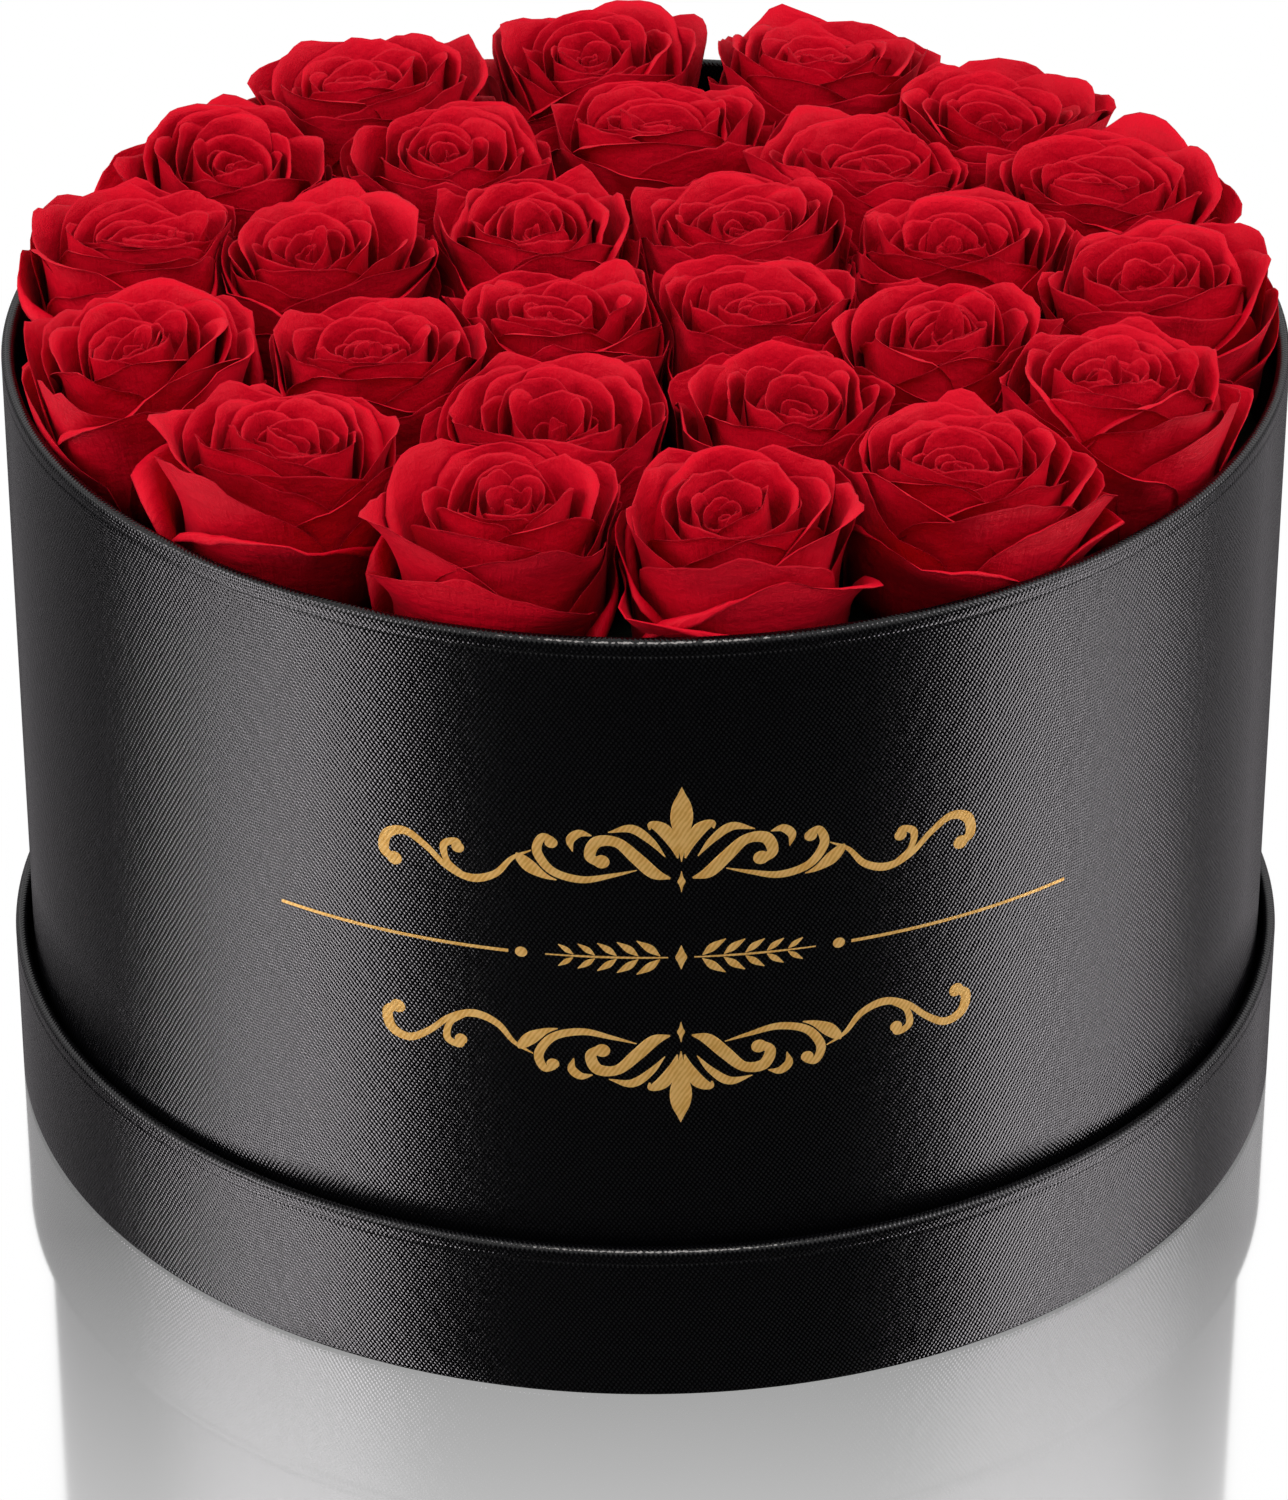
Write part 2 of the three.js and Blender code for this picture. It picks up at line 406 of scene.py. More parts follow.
@dataclass(frozen=True)
class Petal(Finish):
    """A preserved rose petal: soft and leathery, with a fine nap that gives it a velvet sheen.

    The lower part of each petal is painted dark as shade, the blade is a full red, and the thin margin is
    painted a little pinker as a highlight. Fine veins run from the foot of each petal to the margin.
    """

    name: str = "preserved_petal"
    roughness: float = 0.55
    specular: float = 0.1
    sheen: float = 0.05
    sheen_colour: str = "#ff6070"
    sheen_roughness: float = 0.35
    # painted shade: the dark red of the lower part of each petal
    painted_base_shade: str = "#620008"
    blade: str = "#c0001b"
    bright: str = "#c60620"
    # painted highlight: the lighter, pinker red of the thin margin, where the rolled rim catches the light
    margin: str = "#ba0a20"
    relief: float = 0.9  # mm

    def build(self) -> bpy.types.Material:
        """Makes the material. Attributes give each point its share of the way up its petal, its
        closeness to the margin and its petal's own tone."""
        material, tree, shader = self.start()
        uv = own_uv(tree)
        along = add_node(tree, "Mapping", {"Vector": uv, "Scale": (1.0, 0.07, 1.0)}).outputs["Vector"]
        veins = noise(tree, along, 1.1, 4.0, 0.6)
        crumple = noise(tree, uv, 0.22, 5.0, 0.55)
        clouded = maths(tree, "MULTIPLY_ADD", crumple, 1.2, attribute(tree, "tone"))
        blade = mixed_colour(tree, stepped(tree, clouded, 0.35, 1.45), self.blade, self.bright)
        # Painted shade: the lower part of each petal, down in the head where shade falls, is mixed towards a
        # dark red by its share of the way up.
        height = maths(tree, "MULTIPLY_ADD", veins, 0.25, attribute(tree, "rise"))
        deep = mixed(tree, stepped(tree, height, 0.3, 0.9), linear(self.painted_base_shade), blade)
        # Painted highlight: the thin margin is mixed towards a lighter, pinker red.
        edge = stepped(tree, attribute(tree, "edge"), 0.975, 1.0)
        colour = mixed(tree, edge, deep, linear(self.margin))
        folds = maths(tree, "MULTIPLY_ADD", veins, 0.35, crumple)
        self.dress(tree, shader, colour, folds, self.relief, 0.8)
        return material


@dataclass(frozen=True)
class GoldFoil(Finish):
    """Hot-stamped matt gold foil, pressed on to the grained paper so that the grain shows in it."""

    name: str = "stamped_gold_foil"
    roughness: float = 0.5
    metallic: float = 0.45
    body: str = "#d6a24c"
    lifted: str = "#eec274"
    pitch: float = 0.85  # mm, the grain of the paper under it
    relief: float = 0.02  # mm

    def build(self) -> bpy.types.Material:
        """Makes the material. UV is in millimetres, as on the paper."""
        material, tree, shader = self.start()
        uv = own_uv(tree)
        grain = turned_threads(tree, uv, 0.56, self.pitch)
        tone = maths(tree, "MULTIPLY_ADD", grain, 0.35, noise(tree, uv, 0.35, 4.0))
        colour = mixed_colour(tree, stepped(tree, tone, 0.4, 0.9), self.body, self.lifted)
        self.dress(tree, shader, colour, grain, self.relief)
        return material


COVER_PAPER = EmbossedPaper().build()
LINING_PAPER = PlainPaper("black_lining_paper", 0.7).build()
GREYBOARD = PlainPaper("greyboard", 0.9, body="#7d766b", lifted="#989084").build()
KRAFT_BOARD = PlainPaper(
    "kraft_corrugated_board", 0.85, body="#9a7449", lifted="#b8925f", cloud=0.05
).build()
FOAM = FloralFoam().build()
PETAL = Petal().build()
FOIL = GoldFoil().build()
CALYX = PlainPaper("preserved_calyx", 0.7, body="#2c3a1c", lifted="#4c5c30", cloud=0.3).build()


# ---- Meshes -------------------------------------------------------------------------------


def grid_quads(
    rows: int, columns: int, wrap_rows: bool = False, wrap_columns: bool = False
) -> np.ndarray:
    """The quads of a grid of points numbered row by row.

    Args:
        rows: number of rows of points.
        columns: number of points in a row.
        wrap_rows: joins the last row to the first.
        wrap_columns: joins the last point of a row to the first.

    Returns:
        Corner numbers, four to a quad, turning from the row's direction towards the next row.
    """
    row = np.arange(rows if wrap_rows else rows - 1)[:, None]
    column = np.arange(columns if wrap_columns else columns - 1)[None, :]
    below, above = row * columns, (row + 1) % rows * columns
    right = (column + 1) % columns
    return np.stack([below + column, above + column, above + right, below + right], -1).reshape(-1, 4)


def new_object(name: str, data: bpy.types.ID) -> bpy.types.Object:
    """Puts a new object in the scene.

    Args:
        name: the object's name.
        data: its mesh, light or camera.

    Returns:
        The new object.
    """
    thing = bpy.data.objects.new(name, data)
    bpy.context.scene.collection.objects.link(thing)
    return thing


def make_piece(
    name: str,
    points: np.ndarray,
    faces: list[np.ndarray],
    material: bpy.types.Material,
    uv: np.ndarray | None = None,
    values: dict[str, np.ndarray] | None = None,
    smooth: bool = True,
) -> bpy.types.Object:
    """Makes a mesh object in place, with its object at the origin.

    Args:
        name: the piece's name.
        points: the points, three numbers each.
        faces: arrays of corner numbers, each with its own number of corners to a face.
        material: the piece's material.
        uv: two numbers for each point.
        values: named values for each point.
        smooth: whether faces are shaded as one smooth surface.

    Returns:
        The new object.
    """
    points = np.asarray(points, np.float32).reshape(-1, 3)
    corners = np.concatenate([np.asarray(f, np.int32).ravel() for f in faces])
    sizes = np.concatenate([np.full(len(f), f.shape[1], np.int32) for f in faces])
    starts = np.concatenate([[0], np.cumsum(sizes)[:-1]]).astype(np.int32)
    mesh = bpy.data.meshes.new(name)
    mesh.vertices.add(len(points))
    mesh.vertices.foreach_set("co", points.ravel())
    mesh.loops.add(len(corners))
    mesh.loops.foreach_set("vertex_index", corners)
    mesh.polygons.add(len(sizes))
    mesh.polygons.foreach_set("loop_start", starts)
    mesh.update(calc_edges=True)
    mesh.polygons.foreach_set("use_smooth", np.full(len(sizes), smooth))
    if uv is not None:
        layer = mesh.uv_layers.new(name="UVMap")
        flat = np.asarray(uv, np.float32).reshape(-1, 2)[corners]
        layer.data.foreach_set("uv", flat.ravel())
    for key, value in (values or {}).items():
        attribute = mesh.attributes.new(key, "FLOAT", "POINT")
        attribute.data.foreach_set("value", np.asarray(value, np.float32).ravel())
    mesh.materials.append(material)
    mesh.update()
    return new_object(name, mesh)


def rounded_path(corners: list[tuple[float, float]], radii: list[float], steps: int = 6) -> np.ndarray:
    """A path of straight runs whose inner corners are arcs.

    An arc of radius q at a corner of turn t starts q tan(t / 2) before it, and its points are
    spread evenly over the turn.

    Args:
        corners: the path's corners, as (radius, height).
        radii: the arc's radius at each corner but the first and the last.
        steps: how many parts each arc is in.

    Returns:
        The path's points, two numbers each.
    """
    knots = np.array(corners, float)
    points = [knots[0]]
    for k, radius in enumerate(radii, 1):
        before, after = unit(knots[k] - knots[k - 1]), unit(knots[k + 1] - knots[k])
        cross = before[0] * after[1] - before[1] * after[0]
        turn = np.arctan2(cross, before @ after)
        start = knots[k] - before * radius * np.tan(abs(turn) / 2)
        angle = np.linspace(0, abs(turn), steps + 1)[:, None]
        inward = np.sign(turn) * np.array([-before[1], before[0]])
        points.extend(start + radius * (np.sin(angle) * before + (1 - np.cos(angle)) * inward))
    points.append(knots[-1])
    return np.array(points)


def refined(path: np.ndarray, longest: float) -> np.ndarray:
    """Adds points to a path, evenly in each run.

    Args:
        path: the path's points, two numbers each.
        longest: how long a run may be.

    Returns:
        The same path with runs that are no longer than that.
    """
    points = [path[:1]]
    for start, end in zip(path[:-1], path[1:]):
        parts = max(1, int(np.ceil(np.linalg.norm(end - start) / longest)))
        points.append(start + (end - start) * np.arange(1, parts + 1)[:, None] / parts)
    return np.concatenate(points)


def thickened(path: np.ndarray, thickness: float) -> np.ndarray:
    """Gives a path a thickness t: path +- normal t / 2.

    Args:
        path: the path's points, two numbers each.
        thickness: the thickness.

    Returns:
        A closed outline, there on one side of the path and back on the other.
    """
    along = unit(np.gradient(path, axis=0))
    normal = np.stack([along[:, 1], -along[:, 0]], -1) * thickness / 2
    return np.concatenate([path + normal, (path - normal)[::-1]])


def turned(
    name: str,
    outline: np.ndarray,
    bearings: np.ndarray,
    material: bpy.types.Material,
    shift: np.ndarray | None = None,
    values: dict[str, np.ndarray] | None = None,
) -> bpy.types.Object:
    """Carries an outline round Z: (r, z) at bearing a goes to (r cos a, r sin a, z).

    Args:
        name: the piece's name.
        outline: points (r, z), anticlockwise with r to the right. It starts and ends on the axis,
            or it is closed and stays clear of the axis.
        bearings: the bearings it is carried to, over one turn.
        material: the piece's material.
        shift: what is added to r, for each bearing and outline point.
        values: named values for each bearing and outline point.

    Returns:
        The new object, with the distances round and along the outline, in millimetres, as UV.
    """
    solid = outline[0, 0] < TINY
    ring = outline[1:-1] if solid else outline
    offset = np.zeros((1, 1)) if shift is None else shift[:, 1:-1] if solid else shift
    radius = ring[None, :, 0] + offset + np.zeros((len(bearings), 1))
    angle = bearings[:, None]
    points = round_z(radius, angle, ring[None, :, 1]).reshape(-1, 3)
    quads = grid_quads(len(bearings), len(ring), wrap_rows=True, wrap_columns=not solid)
    run = np.concatenate([[0], np.cumsum(np.linalg.norm(np.diff(ring, axis=0), axis=1))])
    widest = ring[:, 0].max()
    uv = np.stack(np.broadcast_arrays(angle * widest, run[None, :]), -1).reshape(-1, 2) / MM
    faces = [quads]
    if solid:
        first = np.arange(len(bearings)) * len(ring)
        following = np.roll(first, -1)
        ends = np.array([[0, 0, outline[0, 1]], [0, 0, outline[-1, 1]]])
        low, high = len(points), len(points) + 1
        points = np.concatenate([points, ends])
        uv = np.concatenate([uv, np.zeros((2, 2))])
        fan = np.stack([np.full_like(first, low), following, first], -1)
        cap = np.stack([np.full_like(first, high), first + len(ring) - 1, following + len(ring) - 1], -1)
        faces += [fan, cap]
    return make_piece(name, points, faces, material, uv, values)


def outward(piece: bpy.types.Object) -> None:
    """Turns every closed shell of a piece so that its faces point outwards.

    Args:
        piece: the piece, which is changed in place.
    """
    shape = bmesh.new()
    shape.from_mesh(piece.data)
    bmesh.ops.recalc_face_normals(shape, faces=shape.faces)
    shape.to_mesh(piece.data)
    shape.free()


def even_bearings(count: int) -> np.ndarray:
    """Bearings spread evenly over a turn."""
    return np.arange(count) * TAU / count


def disc_outline(low: Vector, high: Vector, edge: float, steps: int, longest: float) -> np.ndarray:
    """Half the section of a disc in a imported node's place, with arcs of radius edge at its edges."""
    corners = [(0, low.z), (high.x, low.z), (high.x, high.z), (0, high.z)]
    return refined(rounded_path(corners, [edge] * 2, steps), longest)


def joined(pieces: list[bpy.types.Object], name: str) -> bpy.types.Object:
    """Joins pieces to one.

    Args:
        pieces: the pieces, of which only the first stays.
        name: what the joined piece is called.

    Returns:
        The joined piece.
    """
    with bpy.context.temp_override(active_object=pieces[0], selected_editable_objects=pieces):
        bpy.ops.object.join()
    pieces[0].name = name
    pieces[0].data.name = name
    return pieces[0]


def stand_in(piece: bpy.types.Object, node: str, body: Body) -> None:
    """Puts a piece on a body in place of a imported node, and reports it.

    Args:
        piece: the piece.
        node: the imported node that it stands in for.
        body: the body that the piece rides on.
    """
    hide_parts(node)
    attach(piece, body.value)
    LOG.info("%s: %d faces", piece.name, len(piece.data.polygons))


# ---- Box and lid --------------------------------------------------------------------------


@dataclass
class CoveredTub:
    """A round board tub covered and lined with paper: the box, or the lid that it stands in."""

    name: str
    panel: str
    body: Body
    seed: int
    seam_bearing: float  # where the cover paper's ends overlap, in radians
    segments: int = 288
    rim_radius: float = 1.15 * MM
    foot_radius: float = 0.6 * MM
    crease_drop: float = 3.0 * MM  # from the rim down to the fold that the turned paper leaves
    crease_depth: float = 0.14 * MM
    crease_width: float = 0.35 * MM
    waviness: float = 0.07 * MM
    overlap: float = 12 * MM
    worn_edge: float = 0.9 * MM
    glue: float = 0.1 * MM  # between the board and the lining
    lining_paper: float = 0.25 * MM
    turn_under: float = 13 * MM  # how far the cover paper reaches in under the foot
    cut_board: float = 0.3 * MM  # the small rounds at the edges of the board and the papers
    cut_cover: float = 0.12 * MM
    cut_lining: float = 0.08 * MM

    def __post_init__(self) -> None:
        """Reads the tub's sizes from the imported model."""
        cover_low, cover_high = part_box(f"{self.name}_wall_cover")
        _, lining_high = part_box(f"{self.name}_wall_lining")
        under_low, under_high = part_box(f"{self.name}_{self.panel}_cover")
        self.radius = cover_high.x
        self.rim = cover_high.z
        self.foot = cover_low.z
        self.paper = under_high.z - under_low.z
        self.inside = lining_high.x
        self.turn_in_end = lining_high.z
        self.phases = np.random.default_rng(self.seed).uniform(0, TAU, (4, 2))

    def bearings(self) -> np.ndarray:
        """Even bearings, with a few close together where the paper's overlap steps up."""
        even = self.seam_bearing + even_bearings(self.segments)
        step = self.seam_bearing + np.array([-0.5, -0.25, 0.12, 0.3]) * MM / self.radius
        return np.sort(np.concatenate([even, step]))

    def wall_shift(self, bearing: np.ndarray, height: np.ndarray) -> np.ndarray:
        """How far the hand-covered wall strays from a true cylinder.

        It is the sum of four slow waves, w sin(k a + p) cos(m z + q), and the overlap of the
        paper's ends, which steps up at the seam and dies away over the overlap's width.

        Args:
            bearing: bearings round the tub, in radians.
            height: heights over the table.

        Returns:
            What is added to the radius at each bearing and height.
        """
        total = np.zeros(np.broadcast_shapes(np.shape(bearing), np.shape(height)))
        for order, (turn, rise) in zip((3, 5, 8, 13), self.phases):
            total = total + np.sin(order * bearing + turn) * np.cos(order * 9 * height + rise) / order
        past = ((bearing - self.seam_bearing + np.pi) % TAU - np.pi) * self.radius
        overlap = (past > 0) * (1 - smoothstep(past / self.overlap - 0.2))
        return self.waviness * total + self.paper * 0.8 * overlap

    def surface(self, bearing: np.ndarray, height: np.ndarray) -> np.ndarray:
        """The radius of the covered wall's outside."""
        return self.radius + self.wall_shift(bearing, height)

    def cover(self) -> None:
        """The cover paper: in under the foot, up the wall, over the rim and down inside.

        Its middle line is a path of straight runs with arcs at the foot and the rim, and just below
        the rim a fold of depth d exp(-((z - z0) / w)^2).
        """
        half = self.paper / 2
        outer, inner = self.radius - half, self.inside - half
        low, high = self.foot + half, self.rim - half
        start, end = (self.radius - self.turn_under, low), (inner, self.turn_in_end + half)
        radii = [self.foot_radius, self.rim_radius, self.rim_radius * 0.85]
        path = rounded_path([start, (outer, low), (outer, high), (inner, high), end], radii)
        path = refined(path, 6 * MM)
        fine = np.linspace(high - 5 * MM, high - 1.6 * MM, 16)
        wall = np.abs(path[:, 0] - outer) < NEAR
        lower = path[wall & (path[:, 1] < fine[0])]
        first = np.argmax(wall)
        after = path[(np.arange(len(path)) > first) & ~(wall & (path[:, 1] < high - 1.5 * MM))]
        upper = np.stack([np.full_like(fine, outer), fine], -1)
        path = np.concatenate([path[:first], lower, upper, after])
        on_wall = np.abs(path[:, 0] - outer) < NEAR
        fold = np.exp(-(((path[:, 1] - high + self.crease_drop) / self.crease_width) ** 2))
        path[:, 0] -= self.crease_depth * fold * on_wall
        outline = thickened(path, self.paper)
        bearings = self.bearings()
        share = smoothstep((outline[:, 0] - self.inside) / (self.radius - self.inside))
        shift = self.wall_shift(bearings[:, None], outline[None, :, 1]) * share[None, :]
        corner = np.array([self.radius - 0.35 * MM, self.rim - 0.35 * MM])
        near = np.linalg.norm(outline - corner, axis=1)
        wear = np.exp(-((near / (self.worn_edge / 2)) ** 2))[None, :]
        patch = 0.55 + 0.45 * np.sin(2 * bearings + 1.2) * np.sin(5 * bearings)
        wear = wear * patch[:, None]
        name = f"{self.name}_cover_paper"
        piece = turned(name, outline, bearings, COVER_PAPER, shift, {"wear": wear})
        stand_in(piece, f"{self.name}_wall_cover", self.body)

    def ring(self, node: str, inner: float, edge: float, material: bpy.types.Material, slot: Slot) -> None:
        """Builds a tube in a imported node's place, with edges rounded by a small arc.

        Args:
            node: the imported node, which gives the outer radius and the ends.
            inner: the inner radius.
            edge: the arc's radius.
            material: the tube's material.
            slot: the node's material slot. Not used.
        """
        low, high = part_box(node)
        start = (inner, (low.z + high.z) / 2)
        corners = [start, (inner, low.z), (high.x, low.z), (high.x, high.z), (inner, high.z), start]
        outline = refined(rounded_path(corners, [edge] * 4, 3), 12 * MM)[:-1]
        piece = turned(f"{node}_made", outline, even_bearings(self.segments), material)
        stand_in(piece, node, self.body)

    def disc(self, node: str, edge: float, material: bpy.types.Material) -> None:
        """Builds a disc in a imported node's place, with its edge rounded by a small arc.

        Args:
            node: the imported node, which gives the radius and the faces.
            edge: the arc's radius.
            material: the disc's material.
        """
        outline = disc_outline(*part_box(node), edge, 3, 8 * MM)
        piece = turned(f"{node}_made", outline, even_bearings(self.segments), material)
        stand_in(piece, node, self.body)

    def build(self) -> None:
        """Builds the tub's six pieces."""
        wall, panel = f"{self.name}_wall", f"{self.name}_{self.panel}"
        lining_inside = self.inside - self.lining_paper
        self.cover()
        self.ring(wall, self.inside + self.glue, self.cut_board, GREYBOARD, Slot.GREYBOARD)
        self.ring(f"{wall}_lining", lining_inside, self.cut_lining, LINING_PAPER, Slot.LINING_PAPER)
        self.disc(panel, self.cut_board, GREYBOARD)
        self.disc(f"{panel}_cover", self.cut_cover, COVER_PAPER)
        self.disc(f"{panel}_lining", self.cut_lining, LINING_PAPER)


# ---- Gold ornament ------------------------------------------------------------------------


@dataclass(frozen=True)
class Stroke:
    """One stroke of the ornament: across, up and the stroke's width at a few places, in mm.

    Up is counted from the ornament's middle line, across from its middle, to the right.
    """

    places: tuple[tuple[float, float, float], ...]
    steps: int = 7

    def line(self) -> np.ndarray:
        """The smooth line through the places.

        Each span is a cubic with the place's tangent (next - last) / 2 at either end.

        Returns:
            Across, up and width at every step, three numbers each.
        """
        knots = np.array(self.places)
        ends = np.concatenate([2 * knots[:1] - knots[1:2], knots, 2 * knots[-1:] - knots[-2:-1]])
        tangent = (ends[2:] - ends[:-2]) / 2
        t = (np.arange(self.steps) / self.steps)[None, :, None]
        start, end = knots[:-1, None], knots[1:, None]
        leaving, arriving = tangent[:-1, None], tangent[1:, None]
        span = (2 * t**3 - 3 * t**2 + 1) * start + (t**3 - 2 * t**2 + t) * leaving
        span = span + (3 * t**2 - 2 * t**3) * end + (t**3 - t**2) * arriving
        return np.concatenate([span.reshape(-1, 3), knots[-1:]])


def dot(across: float, up: float, radius: float, count: int = 14) -> np.ndarray:
    """A round spot as a line whose width follows the circle: 2 r sin t at -r cos t."""
    t = np.linspace(0.05, np.pi - 0.05, count)
    return np.stack([across - radius * np.cos(t), np.full(count, up), 2 * radius * np.sin(t)], -1)


@dataclass
class Ornament:
    """A generic scroll ornament stamped on the front of the box in gold foil.

    It is a scroll band above, its mirror image below, and a sprig of leaves between two rules.
    """

    box: CoveredTub
    middle_height: float  # of the middle line, above the table
    bearing: float  # of the middle, in radians
    thickness: float = 0.05  # mm, drawn thicker than foil so that it stays clear of the paper
    weight: float = 0.95  # the widths below are drawn this much narrower
    flat: float = 0.97  # the share of a stroke's width that is flat
    outer_scroll: Stroke = Stroke(
        ((57.6, 17.2, 1.6), (60.0, 19.0, 2.4), (59.2, 22.8, 2.4), (55.4, 24.2, 1.9), (51.0, 21.6, 1.5))
        + ((46.6, 17.6, 1.4), (41.5, 15.9, 1.9), (36.8, 17.6, 1.6), (33.4, 21.6, 1.0), (29.6, 23.8, 0.25))
    )
    side_shoot: Stroke = Stroke(
        ((43.4, 16.8, 0.4), (46.6, 19.0, 1.3), (47.3, 22.6, 1.7), (44.8, 23.9, 1.5), (43.9, 22.6, 1.1))
    )
    drop: Stroke = Stroke(
        ((24.6, 17.4, 0.2), (27.0, 18.2, 1.4), (29.8, 20.0, 3.0), (31.8, 21.9, 2.2), (32.6, 22.9, 0.3))
    )
    middle_scroll: Stroke = Stroke(
        ((8.8, 20.3, 0.2), (13.6, 19.0, 1.0), (19.6, 17.8, 1.7), (25.4, 19.4, 1.9))
        + ((28.4, 23.6, 2.1), (27.4, 27.0, 1.8), (25.2, 26.6, 1.3))
    )
    small_leaf: Stroke = Stroke(((17.6, 28.0, 0.2), (20.0, 28.4, 1.8), (21.8, 26.8, 1.9), (21.4, 24.2, 0.2)))
    inner_scroll: Stroke = Stroke(
        ((2.2, 18.4, 0.4), (5.4, 19.6, 2.7), (8.8, 23.0, 2.9), (12.6, 26.6, 2.4))
        + ((16.6, 26.6, 2.7), (18.0, 23.4, 2.4), (16.0, 21.6, 1.8))
    )
    leaning_leaf: Stroke = Stroke(((3.2, 23.4, 0.2), (6.0, 27.0, 1.6), (9.8, 29.8, 2.0), (14.4, 28.9, 0.2)))
    side_leaf: Stroke = Stroke(
        ((0.7, 23.0, 0.3), (1.7, 26.6, 2.4), (3.6, 29.6, 3.0), (5.9, 30.8, 1.6), (6.3, 29.6, 0.3))
    )
    balls: tuple[tuple[float, float, float], ...] = (
        (57.8, 17.4, 1.6),
        (44.4, 22.5, 1.3),
        (25.6, 25.9, 1.3),
        (15.7, 22.1, 1.6),
    )
    finial: Stroke = Stroke(
        ((0, 22.2, 0.2), (0, 26.5, 2.0), (0, 31.5, 4.6), (0, 35.0, 4.0), (0, 37.6, 1.6), (0, 39.2, 0.1))
    )
    pip: Stroke = Stroke(((0, 15.2, 0.1), (0, 16.6, 0.8), (0, 17.6, 1.7), (0, 18.6, 0.8), (0, 20.0, 0.1)))
    rule: Stroke = Stroke(((34.4, 0.0, 0.75), (60.0, 0.0, 0.75), (84.0, 0.0, 0.75)), steps=30)
    twig: Stroke = Stroke(((2.6, 0, 0.3), (14.0, 0, 0.5), (27.0, 0, 0.3)), steps=12)
    diamond: Stroke = Stroke(((0, -2.8, 0.1), (0, -1.2, 1.4), (0, 0, 2.5), (0, 1.2, 1.4), (0, 2.8, 0.1)))
    rule_dot: tuple[float, float, float] = (31.8, 0, 1.25)
    leaves: int = 5  # pairs of leaves on the twig
    first_leaf: float = 4.2  # mm from the middle
    leaf_pitch: float = 4.3  # mm between leaves

    def garland(self) -> list[np.ndarray]:
        """The twig and its leaves: leaf k leaves the middle line at k pitches, up and down."""
        lines = [self.twig.line()]
        for k in range(self.leaves):
            foot, size = self.first_leaf + k * self.leaf_pitch, 1.0 - 0.09 * k
            for side in (1, -1):
                middle = (foot + 2.0 * size, 2.1 * side * size, 1.9 * size)
                tip = (foot + 4.6 * size, 3.9 * side * size, 0.2)
                lines.append(Stroke(((foot, 0.4 * side, 0.2), middle, tip)).line())
        return lines

    def ribbon(self, line: np.ndarray) -> tuple[np.ndarray, list[np.ndarray]]:
        """A closed flat ribbon on the box's wall along a line.

        Its section has four corners at the line +- the normal times half the width, on the paper
        and over it; across is an arc of the wall, so the bearing is the arc over the radius.

        Args:
            line: across, up and width along the ribbon.

        Returns:
            Points with UV in their last two places, and faces.
        """
        along = unit(np.gradient(line[:, :2], axis=0))
        side = np.stack([along[:, 1], -along[:, 0]], -1)[:, None, :]
        half = line[:, None, 2:] / 2 * self.weight
        spread = np.array([1.0, self.flat, -self.flat, -1.0])[None, :, None]
        place = line[:, None, :2] + side * half * spread
        lift = np.array([-0.4, 1.0, 1.0, -0.4])[None, :] * self.thickness
        bearing = self.bearing + place[..., 0] * MM / self.box.radius
        height = self.middle_height + place[..., 1] * MM
        radius = self.box.surface(bearing, height) + lift * MM
        points = round_z(radius, bearing, height)
        count = len(line)
        walls = grid_quads(count, 4, wrap_columns=True)
        last = 4 * (count - 1)
        caps = np.array([[0, 1, 2, 3], [last + 3, last + 2, last + 1, last]])
        return np.concatenate([points, place], -1).reshape(-1, 5), np.concatenate([walls, caps])

    def build(self) -> None:
        """Builds the whole ornament as one piece on the box."""
        scrolls = (self.outer_scroll, self.side_shoot, self.drop, self.middle_scroll)
        scrolls += (self.small_leaf, self.inner_scroll, self.leaning_leaf, self.side_leaf)
        quarter = [stroke.line() for stroke in scrolls] + [dot(*ball) for ball in self.balls]
        upright = [self.finial.line(), self.pip.line()]
        level = [self.rule.line(), dot(*self.rule_dot)] + self.garland()
        lines = [line * (side, up, 1) for line in quarter for side in (1, -1) for up in (1, -1)]
        lines += [line * (1, up, 1) for line in upright for up in (1, -1)]
        lines += [line * (side, 1, 1) for line in level for side in (1, -1)]
        lines.append(self.diamond.line())
        points, faces, count = [], [], 0
        for line in lines:
            places, quads = self.ribbon(line)
            points.append(places)
            faces.append(quads + count)
            count += len(places)
        points = np.concatenate(points)
        name, faces = "gold_ornament", [np.concatenate(faces)]
        piece = make_piece(name, points[:, :3], faces, FOIL, points[:, 3:], smooth=False)
        outward(piece)
        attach(piece, Body.BOX.value)
        LOG.info("%s: %d faces", piece.name, len(piece.data.polygons))


# ---- Riser and foam -----------------------------------------------------------------------


